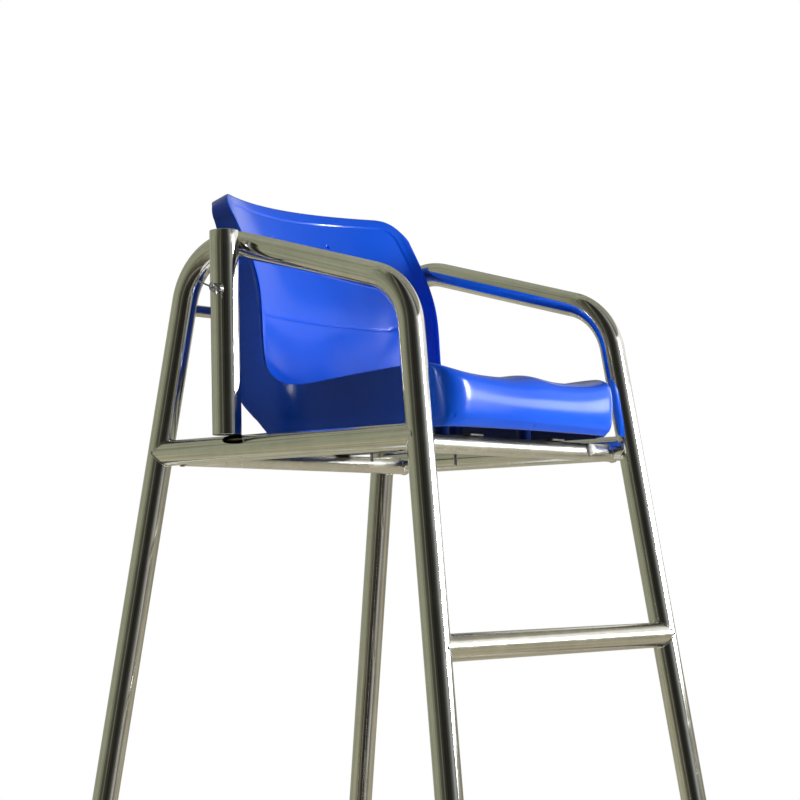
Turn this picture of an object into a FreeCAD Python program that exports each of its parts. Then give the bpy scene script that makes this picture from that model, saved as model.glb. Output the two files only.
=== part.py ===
"""Lifeguard chair: a ladder-fronted tubular stand that carries a moulded bucket seat.

Two bent side frames of polished tube, each one length from the rear leg over the
armrest to the front leg, are joined by seat rails, front rungs and low braces. A
parasol tube with a clamp screw stands outside the right-hand frame.
X runs to the sitter's left, Y to the back and Z up. The origin is on the floor,
in the middle of the footprint. Lengths are in millimetres, angles in degrees.
"""
import FreeCAD, Part
import math
import os
import Sketcher
from FreeCAD import Placement, Rotation, Vector

DIMENSIONS = {
    # side frames: one bent tube each
    "tube_diameter": 43.0,
    "tube_wall": 2.0,
    "frame_width": 598.0,
    "frame_depth": 554.0,
    "rail_height": 1775.0,
    "side_rake": 4.2,
    "front_rake": 7.3,
    "rear_rake": 9.7,
    "arm_height": 311.0,
    "arm_slope": 15.9,
    "bend_radius": 103.0,
    # rungs and braces between the legs
    "rung_pitch": 325.0,
    "brace_height": 312.0,
    "brace_diameter": 33.7,
    "brace_wall": 2.0,
    # seat carriers
    "cross_diameter": 30.0,
    "cross_wall": 2.0,
    "cross_drop": 8.15,
    "front_rail_inset": 37.0,
    "rear_rail_inset": 52.0,
    "back_rail_diameter": 20.0,
    "back_rail_wall": 1.5,
    "back_rail_height": 243.0,
    "strap_width": 40.0,
    "strap_thickness": 4.0,
    "strap_overhang": 12.0,
    # moulded seat
    "seat_width": 488.0,
    "seat_wall": 4.0,
    "seat_corner_radius": 45.0,
    "seat_flange": 34.0,
    "boss_diameter": 26.0,
    "boss_stand": 3.0,
    "stud_spacing": 232.0,
    "stud_inset": 60.0,
    "stud_reach": 147.0,
    "stud_diameter": 6.0,
    "stud_depth": 30.0,
    "front_stud_tail": 8.0,
    "rear_stud_tail": 24.0,
    "stud_clearance": 0.3,
    "washer_diameter": 14.0,
    "washer_thickness": 1.6,
    "nut_width": 10.0,
    "nut_height": 5.0,
    # parasol tube and its clamp
    "post_diameter": 48.0,
    "post_wall": 2.0,
    "post_height": 337.0,
    "post_setback": 105.0,
    "clamp_height": 260.0,
    "clamp_turn": 15.0,
    "clamp_travel": 5.0,
    "boss_radius": 9.0,
    "boss_length": 8.0,
    "pad_radius": 5.0,
    "pad_thickness": 2.0,
    "screw_radius": 4.0,
    "running_gap": 0.06,
    "pad_gap": 0.3,
    "eye_radius": 5.5,
    "eye_wire": 1.9,
    "handle_radius": 1.5,
    "handle_length": 27.0,
    "handle_hook": 9.0,
    "handle_tilt": 25.0,
    # rubber feet and the cap on the front rail
    "foot_wall": 5.0,
    "foot_height": 62.0,
    "foot_sole": 12.0,
    "cap_radius": 11.0,
    "cap_height": 5.0,
    "cap_stem": 4.0,
    "cap_inset": 92.0,
    "cap_tilt": 16.0,
}
RUNG_COUNT = 5
SIDES = {"right": -1, "left": 1}

doc = FreeCAD.newDocument("LifeguardChair")
sheet = doc.addObject("Spreadsheet::Sheet", "Dims")
for row, (alias, number) in enumerate(DIMENSIONS.items(), start=1):
    sheet.set(f"A{row}", alias)
    sheet.set(f"B{row}", str(number))
    sheet.setAlias(f"B{row}", alias)
doc.recompute()

# Lengths that several pieces share, as formulas on the sheet. Heights called rise
# are counted up from the axis of the seat side rails.
TUBE_R = "Dims.tube_diameter / 2"
HALF_W = "Dims.frame_width / 2"
HALF_D = "Dims.frame_depth / 2"
SIDE_TAN = "tan(Dims.side_rake * 1deg)"
FRONT_TAN = "(tan(Dims.front_rake * 1deg) / cos(Dims.side_rake * 1deg))"
REAR_TAN = "(tan(Dims.rear_rake * 1deg) / cos(Dims.side_rake * 1deg))"
CENTRE_Y = f"(({FRONT_TAN} - {REAR_TAN}) * Dims.rail_height / 2)"
FRONT_RAIL_Y = f"({CENTRE_Y} - {HALF_D} + Dims.front_rail_inset)"
REAR_RAIL_Y = f"({CENTRE_Y} + {HALF_D} - Dims.rear_rail_inset)"
CROSS_Z = "(Dims.rail_height - Dims.cross_drop)"
CROSS_TOP = f"({CROSS_Z} + Dims.cross_diameter / 2)"
SEAT_Z = f"({CROSS_TOP} + Dims.strap_thickness)"
ARM_TAN = "tan(Dims.arm_slope * 1deg)"
POST_ARM_RISE = f"((Dims.arm_height + Dims.post_setback * {ARM_TAN}) * cos(Dims.side_rake * 1deg))"
POST_X = f"(-({HALF_W} - {POST_ARM_RISE} * {SIDE_TAN}) - {TUBE_R} - Dims.post_diameter / 2)"
POST_Y = f"({CENTRE_Y} + Dims.post_setback)"
POST_BASE = f"(Dims.rail_height + {TUBE_R})"


def value(formula):
    """The number that a formula on the sheet gives, in millimetres."""
    result = sheet.evalExpression(formula)
    return float(getattr(result, "Value", result))


def bind(part, **formulas):
    """Bind properties of a part to formulas; place_x, place_y and place_z move it."""
    moves = {"place_x": "Placement.Base.x", "place_y": "Placement.Base.y", "place_z": "Placement.Base.z"}
    for key, formula in formulas.items():
        part.setExpression(moves.get(key, key), formula)
    return part


def rod(name, radius, length, axis="z", centred=False, **moves):
    """A plain round bar along one axis, starting at its place or centred on it."""
    turns = {"z": Rotation(), "x": Rotation(Vector(0, 1, 0), 90), "y": Rotation(Vector(1, 0, 0), -90)}
    bar = doc.addObject("Part::Cylinder", name)
    bar.Placement = Placement(Vector(), turns[axis])
    if centred:
        start = f"place_{axis}"
        moves[start] = f"{moves.get(start, '0')} - ({length}) / 2"
    return bind(bar, Radius=radius, Height=length, **moves)


def cut(name, base, *tools):
    """What is left of base when the tools are taken away."""
    for number, tool in enumerate(tools, start=1):
        last = number == len(tools)
        result = doc.addObject("Part::Cut", name if last else f"{name}_step{number}")
        result.Base = base
        result.Tool = tool
        base = result
    return base


def fuse(name, *pieces):
    """Several overlapping pieces as one solid."""
    result = doc.addObject("Part::MultiFuse", name)
    result.Shapes = list(pieces)
    return result


def group(name, pieces):
    """Separate solids of one kind, kept together."""
    result = doc.addObject("Part::Compound", name)
    result.Links = list(pieces)
    return result


def tube(name, diameter, wall, length, axis, **moves):
    """A centred hollow tube along one axis."""
    outer = rod(f"{name}_outer", f"{diameter} / 2", length, axis, True, **moves)
    bore = rod(f"{name}_bore", f"{diameter} / 2 - {wall}", length, axis, True, **moves)
    return cut(f"{name}_tube", outer, bore)


def stand_in_plane(part, side):
    """Lean a piece, drawn upright at x = 0, into the plane of one side frame."""
    lean = Rotation(Vector(0, 1, 0), -SIDES[side] * DIMENSIONS["side_rake"])
    part.Placement = Placement(Vector(), lean)
    bind(part, place_x=f"{SIDES[side]} * {HALF_W}", place_y=CENTRE_Y, place_z="Dims.rail_height")
    part.setExpression("Placement.Rotation.Angle", "Dims.side_rake * 1deg")
    part.setExpression("Placement.Rotation.Axis.y", f"{-SIDES[side]}")
    return part


# Side frame: the drawing plane holds y forward to back and z up along the lean. The
# leg ends stop above the floor by the sole of the rubber foot.
def leg_drop():
    """Distance down the frame's plane from the side rail to the cut ends of the legs."""
    return "((Dims.rail_height - Dims.foot_sole) / cos(Dims.side_rake * 1deg))"


def side_frame(name, side):
    body = doc.addObject("PartDesign::Body", name)
    planes = {feature.Role: feature for feature in body.Origin.OriginFeatures}
    path = body.newObject("Sketcher::SketchObject", f"{name}_path")
    path.AttachmentSupport = [(planes["YZ_Plane"], "")]
    path.MapMode = "FlatFace"
    draw_side_path(path)
    ring = body.newObject("Sketcher::SketchObject", f"{name}_ring")
    ring.AttachmentSupport = [(planes["XY_Plane"], "")]
    ring.MapMode = "FlatFace"
    ring.AttachmentOffset = Placement(Vector(), Rotation(Vector(1, 0, 0), DIMENSIONS["rear_rake"]))
    ring.setExpression("AttachmentOffset.Base.y", f"{HALF_D} + {leg_drop()} * tan(Dims.rear_rake * 1deg)")
    ring.setExpression("AttachmentOffset.Base.z", f"-{leg_drop()}")
    ring.setExpression("AttachmentOffset.Rotation.Angle", "Dims.rear_rake * 1deg")
    draw_ring(ring, TUBE_R, "Dims.tube_wall")
    doc.recompute()
    pipe = body.newObject("PartDesign::AdditivePipe", f"{name}_pipe")
    pipe.Profile = ring
    pipe.Spine = (path, [f"Edge{number}" for number in range(1, 6)])
    pipe.Mode = "Standard"
    pipe.Transition = "Transformed"
    body.Tip = pipe
    return stand_in_plane(body, side)


def draw_ring(sketch, radius, wall):
    """Two circles about the sketch origin: the section of a tube."""
    centre, flat = Vector(0, 0, 0), Vector(0, 0, 1)
    outer = sketch.addGeometry(Part.Circle(centre, flat, value(radius)), False)
    bore = sketch.addGeometry(Part.Circle(centre, flat, value(f"{radius} - {wall}")), False)
    for circle, formula in ((outer, radius), (bore, f"{radius} - {wall}")):
        sketch.addConstraint(Sketcher.Constraint("Coincident", circle, 3, -1, 1))
        size = sketch.addConstraint(Sketcher.Constraint("Radius", circle, value(formula)))
        sketch.setExpression(f"Constraints[{size}]", formula)


def draw_side_path(sketch):
    """Rear leg, bend, armrest, bend and front leg, as tangent lines and arcs."""
    corner = side_corners()
    radius = DIMENSIONS["bend_radius"]
    first = fillet_points(corner["rear_foot"], corner["rear_top"], corner["front_top"], radius)
    second = fillet_points(corner["rear_top"], corner["front_top"], corner["front_foot"], radius)
    rear_leg = sketch.addGeometry(Part.LineSegment(corner["rear_foot"], first[0]), False)
    rear_bend = sketch.addGeometry(Part.Arc(*first), False)
    arm = sketch.addGeometry(Part.LineSegment(first[2], second[0]), False)
    front_bend = sketch.addGeometry(Part.Arc(*second), False)
    front_leg = sketch.addGeometry(Part.LineSegment(second[2], corner["front_foot"]), False)
    marks = [sketch.addGeometry(Part.Point(corner[key]), True) for key in ("rear_seat", "arm_mid", "front_seat")]
    bend_ends = {bend: nearest_ends(sketch, bend, before, after)
                 for before, bend, after in ((rear_leg, rear_bend, arm), (arm, front_bend, front_leg))}
    rules = [
        Sketcher.Constraint("Tangent", rear_leg, 2, rear_bend, bend_ends[rear_bend][0]),
        Sketcher.Constraint("Tangent", rear_bend, bend_ends[rear_bend][1], arm, 1),
        Sketcher.Constraint("Tangent", arm, 2, front_bend, bend_ends[front_bend][0]),
        Sketcher.Constraint("Tangent", front_bend, bend_ends[front_bend][1], front_leg, 1),
        Sketcher.Constraint("PointOnObject", marks[0], 1, rear_leg),
        Sketcher.Constraint("PointOnObject", marks[1], 1, arm),
        Sketcher.Constraint("PointOnObject", marks[2], 1, front_leg),
        Sketcher.Constraint("PointOnObject", marks[0], 1, -1),
        Sketcher.Constraint("PointOnObject", marks[1], 1, -2),
        Sketcher.Constraint("PointOnObject", marks[2], 1, -1),
    ]
    sketch.addConstraint(rules)
    foot_y = f"({HALF_D} + {leg_drop()} * tan(Dims.rear_rake * 1deg))"
    toe_y = f"({HALF_D} + {leg_drop()} * tan(Dims.front_rake * 1deg))"
    sizes = [
        (("DistanceX", -1, 1, marks[0], 1), HALF_D),
        (("DistanceY", -1, 1, marks[1], 1), "Dims.arm_height"),
        (("DistanceX", marks[2], 1, -1, 1), HALF_D),
        (("DistanceX", -1, 1, rear_leg, 1), foot_y),
        (("DistanceY", rear_leg, 1, -1, 1), leg_drop()),
        (("DistanceX", front_leg, 2, -1, 1), toe_y),
        (("DistanceY", front_leg, 2, -1, 1), leg_drop()),
        (("Radius", rear_bend), "Dims.bend_radius"),
        (("Radius", front_bend), "Dims.bend_radius"),
    ]
    for rule, formula in sizes:
        number = sketch.addConstraint(Sketcher.Constraint(*rule, value(formula)))
        sketch.setExpression(f"Constraints[{number}]", formula)
    slope = math.radians(180 + DIMENSIONS["arm_slope"])
    number = sketch.addConstraint(Sketcher.Constraint("Angle", arm, slope))
    sketch.setExpression(f"Constraints[{number}]", "(180 + Dims.arm_slope) * 1deg")


def side_corners():
    """Sharp corners and reference points of the side frame in its own plane."""
    half_depth = value(HALF_D)
    drop = value(leg_drop())
    rise = DIMENSIONS["arm_height"]
    rear, front, slope = (math.tan(math.radians(DIMENSIONS[key])) for key in ("rear_rake", "front_rake", "arm_slope"))
    rear_y = (half_depth - rear * rise) / (1 + rear * slope)
    front_y = (-half_depth + front * rise) / (1 - front * slope)
    return {
        "rear_foot": Vector(half_depth + drop * rear, -drop, 0),
        "rear_seat": Vector(half_depth, 0, 0),
        "rear_top": Vector(rear_y, rise + slope * rear_y, 0),
        "arm_mid": Vector(0, rise, 0),
        "front_top": Vector(front_y, rise + slope * front_y, 0),
        "front_seat": Vector(-half_depth, 0, 0),
        "front_foot": Vector(-half_depth - drop * front, -drop, 0),
    }


def fillet_points(before, corner, after, radius):
    """Start, middle and end of the arc that rounds a corner between two runs."""
    into = (before - corner).normalize()
    out = (after - corner).normalize()
    half = into.getAngle(out) / 2
    reach = radius / math.tan(half)
    centre = corner + (into + out).normalize() * (radius / math.sin(half))
    middle = centre + (corner - centre).normalize() * radius
    return corner + into * reach, middle, corner + out * reach


def nearest_ends(sketch, bend, before, after):
    """Which end of an arc meets the run before it, and which the run after it."""
    meets_before = sketch.getPoint(before, 2)
    start = sketch.getPoint(bend, 1)
    return (1, 2) if start.distanceToPoint(meets_before) < 1.0 else (2, 1)


# Solid bars along the legs and side rails. They shape the fish-mouth ends of every
# tube that is welded to them and the sockets of the feet.
def leg_bars(side):
    drop = f"({leg_drop()} + Dims.foot_height)"
    bars = []
    for key, sign, rake in (("front", -1, "Dims.front_rake"), ("rear", 1, "Dims.rear_rake")):
        length = f"({drop} + Dims.arm_height) / cos({rake} * 1deg)"
        bar = doc.addObject("Part::Cylinder", f"{side}_{key}_bar")
        bar.Placement = Placement(Vector(), Rotation(Vector(sign, 0, 0), 1.0))
        bind(bar, Radius=TUBE_R, Height=length, place_z=f"-{drop}",
             place_y=f"{sign} * ({HALF_D} + {drop} * tan({rake} * 1deg))")
        bar.setExpression("Placement.Rotation.Angle", f"{rake} * 1deg")
        bars.append(bar)
    return stand_in_plane(group(f"{side}_leg_bars", bars), side)


def rail_bar(side):
    return rod(f"{side}_rail_bar", TUBE_R, "Dims.frame_depth", "y", True,
               place_x=f"{SIDES[side]} * {HALF_W}", place_y=CENTRE_Y, place_z="Dims.rail_height")


# Side rail: it runs level between the two legs of one side frame.
def side_rail(name, side, bars):
    blank = tube(name, "Dims.tube_diameter", "Dims.tube_wall", "Dims.frame_depth", "y",
                 place_x=f"{SIDES[side]} * {HALF_W}", place_y=CENTRE_Y, place_z="Dims.rail_height")
    return cut(name, blank, bars)


# Low side brace: level, parallel to the side rail, between the legs of one side.
def side_brace(name, side, bars):
    down = "(Dims.rail_height - Dims.brace_height)"
    front_y = f"({CENTRE_Y} - {HALF_D} - {down} * {FRONT_TAN})"
    rear_y = f"({CENTRE_Y} + {HALF_D} + {down} * {REAR_TAN})"
    blank = tube(name, "Dims.brace_diameter", "Dims.brace_wall", f"({rear_y} - {front_y})", "y",
                 place_x=f"{SIDES[side]} * ({HALF_W} + {down} * {SIDE_TAN})",
                 place_y=f"({rear_y} + {front_y}) / 2", place_z="Dims.brace_height")
    return cut(name, blank, bars)


# Level tube between a pair of legs, a given distance below the side rail axis.
def leg_tie(name, pair, diameter, wall, down, bars):
    slope = FRONT_TAN if pair == "front" else REAR_TAN
    sign = -1 if pair == "front" else 1
    blank = tube(name, diameter, wall, f"(2 * ({HALF_W} + {down} * {SIDE_TAN}))", "x",
                 place_x="0", place_y=f"{CENTRE_Y} + {sign} * ({HALF_D} + {down} * {slope})",
                 place_z=f"Dims.rail_height - {down}")
    return cut(name, blank, *bars)


# Cross rail: a thinner tube between the side rails, under the seat straps.
def cross_rail(name, place, *drills):
    blank = tube(name, "Dims.cross_diameter", "Dims.cross_wall", "Dims.frame_width", "x",
                 place_x="0", place_y=place, place_z=CROSS_Z)
    return cut(name, blank, *drills)


def stud_places():
    """For the four seat studs: sign of x, distance behind the front rail, free tail."""
    rows = (("Dims.stud_inset", "Dims.front_stud_tail"),
            ("(Dims.stud_inset + Dims.stud_reach)", "Dims.rear_stud_tail"))
    return [(sign, reach, tail) for reach, tail in rows for sign in (-1, 1)]


def stud_drills():
    """Clearance drills at the seat studs, through the straps."""
    drills = [rod(f"stud_drill{number}", "Dims.stud_diameter / 2 + Dims.stud_clearance", "Dims.cross_diameter * 3",
                  "z", True, place_x=f"{sign} * Dims.stud_spacing / 2", place_y=f"{FRONT_RAIL_Y} + {reach}",
                  place_z=CROSS_Z)
              for number, (sign, reach, tail) in enumerate(stud_places(), start=1)]
    return group("stud_drills", drills)


# Seat strap: a flat bar laid from the front cross rail to the rear one.
def seat_strap(name, sign, drills):
    bar = doc.addObject("Part::Box", f"{name}_bar")
    bind(bar, Length="Dims.strap_width", Height="Dims.strap_thickness",
         Width=f"{REAR_RAIL_Y} - {FRONT_RAIL_Y} + 2 * Dims.strap_overhang",
         place_x=f"{sign} * Dims.stud_spacing / 2 - Dims.strap_width / 2",
         place_y=f"{FRONT_RAIL_Y} - Dims.strap_overhang", place_z=CROSS_TOP)
    return cut(name, bar, drills)


def seat_studs():
    studs = []
    for number, (sign, reach, tail) in enumerate(stud_places(), start=1):
        low = f"({CROSS_TOP} - Dims.washer_thickness - Dims.nut_height - {tail})"
        studs.append(rod(f"stud{number}", "Dims.stud_diameter / 2", f"{SEAT_Z} + Dims.stud_depth - {low}",
                         place_x=f"{sign} * Dims.stud_spacing / 2", place_y=f"{FRONT_RAIL_Y} + {reach}",
                         place_z=low))
    return group("seat_studs", studs)


def seat_washers():
    washers = []
    for number, (sign, reach, tail) in enumerate(stud_places(), start=1):
        moves = {"place_x": f"{sign} * Dims.stud_spacing / 2", "place_y": f"{FRONT_RAIL_Y} + {reach}",
                 "place_z": f"{CROSS_TOP} - Dims.washer_thickness"}
        disc = rod(f"washer_disc{number}", "Dims.washer_diameter / 2", "Dims.washer_thickness", **moves)
        hole = rod(f"washer_hole{number}", "Dims.stud_diameter / 2 + Dims.stud_clearance",
                   "Dims.washer_thickness", **moves)
        washers.append(cut(f"washer{number}", disc, hole))
    return group("seat_washers", washers)


def seat_nuts():
    nuts = []
    for number, (sign, reach, tail) in enumerate(stud_places(), start=1):
        moves = {"place_x": f"{sign} * Dims.stud_spacing / 2", "place_y": f"{FRONT_RAIL_Y} + {reach}",
                 "place_z": f"{CROSS_TOP} - Dims.washer_thickness - Dims.nut_height"}
        hexagon = doc.addObject("Part::Prism", f"nut_hexagon{number}")
        hexagon.Polygon = 6
        bind(hexagon, Circumradius="Dims.nut_width / sqrt(3)", Height="Dims.nut_height", **moves)
        thread = rod(f"nut_thread{number}", "Dims.stud_diameter / 2 + Dims.running_gap", "Dims.nut_height", **moves)
        nuts.append(cut(f"nut{number}", hexagon, thread))
    return group("seat_nuts", nuts)


# Foot: a rubber ferrule that follows the lean of its leg and is flat on the floor.
def foot(name, side, pair, bars):
    sign = -1 if pair == "front" else 1
    rake = f"Dims.{pair}_rake"
    deep = "(Dims.rail_height / cos(Dims.side_rake * 1deg) + Dims.foot_height)"
    sleeve = doc.addObject("Part::Cylinder", f"{name}_sleeve")
    sleeve.Placement = Placement(Vector(), Rotation(Vector(sign, 0, 0), 1.0))
    bind(sleeve, Radius=f"{TUBE_R} + Dims.foot_wall", Height="Dims.foot_height * 2", place_z=f"-{deep}",
         place_y=f"{sign} * ({HALF_D} + {deep} * tan({rake} * 1deg))")
    sleeve.setExpression("Placement.Rotation.Angle", f"{rake} * 1deg")
    leaning = stand_in_plane(group(f"{name}_leaning", [sleeve]), side)
    ground = doc.addObject("Part::Box", f"{name}_ground")
    bind(ground, Length="Dims.foot_height * 6", Width="Dims.foot_height * 6", Height="Dims.foot_height * 2",
         place_x=f"{SIDES[side]} * ({HALF_W} + Dims.rail_height * {SIDE_TAN}) - Dims.foot_height * 3",
         place_y=f"{CENTRE_Y} + {sign} * ({HALF_D} + Dims.rail_height * {FRONT_TAN if sign < 0 else REAR_TAN})"
                 " - Dims.foot_height * 3",
         place_z="-Dims.foot_height * 2")
    upper = cut(f"{name}_upper", leaning, ground)
    socket = doc.addObject("Part::Box", f"{name}_socket_box")
    bind(socket, Length="Dims.foot_height * 6", Width="Dims.foot_height * 6", Height="Dims.foot_height * 3",
         place_x=f"{SIDES[side]} * ({HALF_W} + Dims.rail_height * {SIDE_TAN}) - Dims.foot_height * 3",
         place_y=f"{CENTRE_Y} + {sign} * ({HALF_D} + Dims.rail_height * {FRONT_TAN if sign < 0 else REAR_TAN})"
                 " - Dims.foot_height * 3",
         place_z="Dims.foot_sole - Dims.foot_wall")
    leg_room = doc.addObject("Part::Common", f"{name}_socket")
    leg_room.Base = bars
    leg_room.Tool = socket
    return cut(name, upper, leg_room)


# Moulded seat. Its sitting face is a sheet drawn over stations from the lower edge of
# the front lip, over the lip, along the pan and up the back. Each station gives y and
# z on the middle line, y and z at the side edge, the power with which the face bends
# from one to the other, the height of the ridge between the thighs, and how far the
# front corner is rounded back. The seat's own origin is over the front rail.
SEAT_STATIONS = (
    (-52, 2, -32, 2, 2, 0, 14),
    (-66, 11, -44, 11, 2, 0, 16),
    (-72, 31, -48, 31, 2, 0, 18),
    (-71, 60, -51, 62, 2, 1, 18),
    (-60, 80, -53, 91, 3, 5, 18),
    (-34, 89, -38, 102, 5, 8, 12),
    (-5, 90, -15, 104, 5, 9, 4),
    (55, 85, 45, 105, 5, 6, 0),
    (150, 70, 150, 99, 4, 2, 0),
    (250, 58, 240, 89, 4, 0, 0),
    (325, 61, 287, 91, 3, 0, 0),
    (376, 92, 320, 112, 2.5, 0, 0),
    (392, 146, 332, 150, 2, 0, 0),
    (403, 221, 340, 226, 2, 0, 0),
    (421, 286, 355, 291, 2, 0, 0),
    (454, 361, 385, 363, 2, 0, 0),
    (490, 433, 421, 433, 2, 0, 0),
)
EDGE_STEPS = (0, 0.12, 0.25, 0.38, 0.5, 0.62, 0.73, 0.82, 0.89, 0.945, 0.98, 1.0)
RIDGE_HALF_WIDTH = 40.0
CORNER_POWER = 24
FLANGE_TAPER = 0.12
HEEL_CORNERS = ((457, 431), (431, 362), (385, 68), (314, 2))
HEEL_BENDS = (2.0, 120.0, 40.0, 3.0)


def sheet_point(station, across, half_width):
    """A point of the sitting face at one station; across runs from -1 to 1."""
    mid_y, mid_z, edge_y, edge_z, power, ridge, corner = station
    share = abs(across) ** power
    x = across * half_width
    y = mid_y + (edge_y - mid_y) * share + corner * abs(across) ** CORNER_POWER
    z = mid_z + (edge_z - mid_z) * share + ridge * math.exp(-(x / RIDGE_HALF_WIDTH) ** 2)
    return Vector(x, y, z)


def sheet_rows(half_width, reach=1.0):
    """Rows of points of the sitting face, one for each station, out to a share of its width."""
    across = [-step * reach for step in reversed(EDGE_STEPS[1:])] + [step * reach for step in EDGE_STEPS]
    return [[sheet_point(station, share, half_width) for share in across] for station in SEAT_STATIONS]


def offset_rows(rows, depth):
    """The same rows moved to the hidden side of the sheet by its wall."""
    moved = []
    last_row, last_column = len(rows) - 1, len(rows[0]) - 1
    for i, row in enumerate(rows):
        points = []
        for j, point in enumerate(row):
            along = rows[min(i + 1, last_row)][j] - rows[max(i - 1, 0)][j]
            across = row[min(j + 1, last_column)] - row[max(j - 1, 0)]
            points.append(point - across.cross(along).normalize() * depth)
        moved.append(points)
    return moved


def clamped_knots(count):
    """Degree, knots and multiplicities of an even curve that ends on its end poles."""
    degree = min(3, count - 1)
    knots = list(range(count - degree + 1))
    return degree, knots, [degree + 1] + [1] * (len(knots) - 2) + [degree + 1]


def smooth_face(rows):
    """Smooth face drawn through a grid of poles."""
    u_degree, u_knots, u_counts = clamped_knots(len(rows))
    v_degree, v_knots, v_counts = clamped_knots(len(rows[0]))
    surface = Part.BSplineSurface()
    surface.buildFromPolesMultsKnots(rows, u_counts, v_counts, u_knots, v_knots, False, False, u_degree, v_degree)
    return surface.toShape()


def smooth_edge(poles):
    """Smooth edge drawn through a row of poles."""
    degree, knots, counts = clamped_knots(len(poles))
    curve = Part.BSplineCurve()
    curve.buildFromPolesMultsKnots(poles, counts, knots, False, degree)
    return curve.toShape()


def thick_sheet(front, back):
    """Solid between two grids of poles that run side by side."""
    rims = [(front[end], back[end]) for end in (0, -1)]
    rims += [([row[end] for row in front], [row[end] for row in back]) for end in (0, -1)]
    shell = Part.makeShell([smooth_face(rows) for rows in (front, back, *rims)])
    shell.sewShape(0.001)
    solid = Part.makeSolid(shell)
    return solid if solid.Volume > 0 else solid.reversed()


def side_wall(sign, rim, half_width, wall):
    """Flat side of the seat, from its rim to its heel and rear edge."""
    outline = [Vector(0, point.y, point.z) for point in rim]
    heel = [Vector(0, y, z) for y, z in HEEL_CORNERS]
    corners = [outline[-1], *heel, outline[0]]
    edges = [smooth_edge(outline)]
    start = outline[-1]
    for before, corner, after, bend in zip(corners, corners[1:], corners[2:], HEEL_BENDS):
        arc = fillet_points(before, corner, after, bend)
        edges += [Part.makeLine(start, arc[0]), Part.Arc(*arc).toShape()]
        start = arc[2]
    edges.append(Part.makeLine(start, outline[0]))
    plate = Part.Face(Part.Wire(edges))
    plate.translate(Vector(half_width - wall if sign > 0 else -half_width, 0, 0))
    return plate.extrude(Vector(wall, 0, 0))


def arch_face(half_width, top, radius):
    """Flat shape under an arch with rounded shoulders, standing in the x-z plane."""
    base = top - 3 * radius
    corners = [Vector(-half_width, 0, base), Vector(-half_width, 0, top),
               Vector(half_width, 0, top), Vector(half_width, 0, base)]
    left = fillet_points(corners[0], corners[1], corners[2], radius)
    right = fillet_points(corners[1], corners[2], corners[3], radius)
    edges = [Part.makeLine(corners[0], left[0]), Part.Arc(*left).toShape(), Part.makeLine(left[2], right[0]),
             Part.Arc(*right).toShape(), Part.makeLine(right[2], corners[3]), Part.makeLine(corners[3], corners[0])]
    return Part.Face(Part.Wire(edges))


def seat_shell():
    half_width = DIMENSIONS["seat_width"] / 2
    wall = DIMENSIONS["seat_wall"]
    radius = DIMENSIONS["seat_corner_radius"]
    rows = sheet_rows(half_width - 0.7 * wall)
    under = offset_rows(rows, wall)
    crest = rows[-1][0].z
    arch = arch_face(half_width, crest, radius).extrude(Vector(0, 4 * half_width, 0))
    tunnel = arch_face(half_width - wall, crest - wall, radius - wall).extrude(Vector(0, 4 * half_width, 0))
    shoulder = Part.makeBox(4 * half_width, 8 * half_width, 2 * radius,
                            Vector(-2 * half_width, -half_width, crest - radius))
    outside = shoulder.cut(arch)
    rims = [[(top + low) / 2 for top, low in zip([row[side] for row in rows], [row[side] for row in under])]
            for side in (0, -1)]
    walls = [side_wall(sign, rim, half_width, wall) for sign, rim in zip((-1, 1), rims)]
    flange = crown(half_width, wall, DIMENSIONS["seat_flange"]).common(shoulder).cut([tunnel, outside])
    bosses = [stud_boss(sign, reach, half_width - wall) for sign, reach, tail in stud_places()]
    whole = thick_sheet(rows, under).cut(outside).fuse([part.cut(shoulder) for part in walls] + [flange] + bosses)
    seat = doc.addObject("Part::Feature", "seat_shell")
    seat.Shape = whole.removeSplitter().Solids[0]
    return bind(seat, place_y=FRONT_RAIL_Y, place_z=f"{SEAT_Z} + Dims.boss_stand")


def crown(half_width, wall, depth):
    """Block behind the top of the back, from inside the sheet to the rear of the flange."""
    rows = sheet_rows(half_width - 0.7 * wall, 1.06)[-3:]
    front = [[point + Vector(0, wall / 2, 0) for point in row] for row in rows]
    step = front[-1][0] - front[-2][0]
    front.append([point + step * 0.3 for point in front[-1]])
    crest = rows[-1][0].z
    back = [[point + Vector(0, depth + FLANGE_TAPER * (crest - point.z), 0) for point in row] for row in front]
    return thick_sheet(front, back)


def stud_boss(sign, reach, inner_width):
    """Round post under the pan that takes one stud."""
    x = DIMENSIONS["stud_spacing"] / 2
    y = value(reach)
    stand = DIMENSIONS["boss_stand"]
    top = pan_height(y, x / inner_width, inner_width) - DIMENSIONS["seat_wall"] / 2
    post = Part.makeCylinder(DIMENSIONS["boss_diameter"] / 2, top + stand, Vector(sign * x, y, -stand))
    hole = Part.makeCylinder(DIMENSIONS["stud_diameter"] / 2 + DIMENSIONS["running_gap"],
                             DIMENSIONS["stud_depth"] + DIMENSIONS["stud_clearance"], Vector(sign * x, y, -stand))
    return post.cut(hole)


def pan_height(y, across, half_width):
    """Height of the sitting face over a point of the pan, between two stations."""
    row = [sheet_point(station, across, half_width) for station in SEAT_STATIONS[5:12]]
    for near, far in zip(row, row[1:]):
        if near.y <= y <= far.y:
            return near.z + (far.z - near.z) * (y - near.y) / (far.y - near.y)
    return row[0].z


# Parasol tube: open at both ends, upright on the right side rail and welded to the
# outside of the armrest. Its clamp boss is drilled through to the bore.
def clamp_frame(part):
    """Place a clamp piece, drawn with its axis along +x from the post's axis."""
    part.Placement = Placement(Vector(), Rotation(Vector(0, 0, 1), 180 + DIMENSIONS["clamp_turn"]))
    bind(part, place_x=POST_X, place_y=POST_Y, place_z="Dims.rail_height + Dims.clamp_height")
    part.setExpression("Placement.Rotation.Angle", "(180 + Dims.clamp_turn) * 1deg")
    return part


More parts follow.
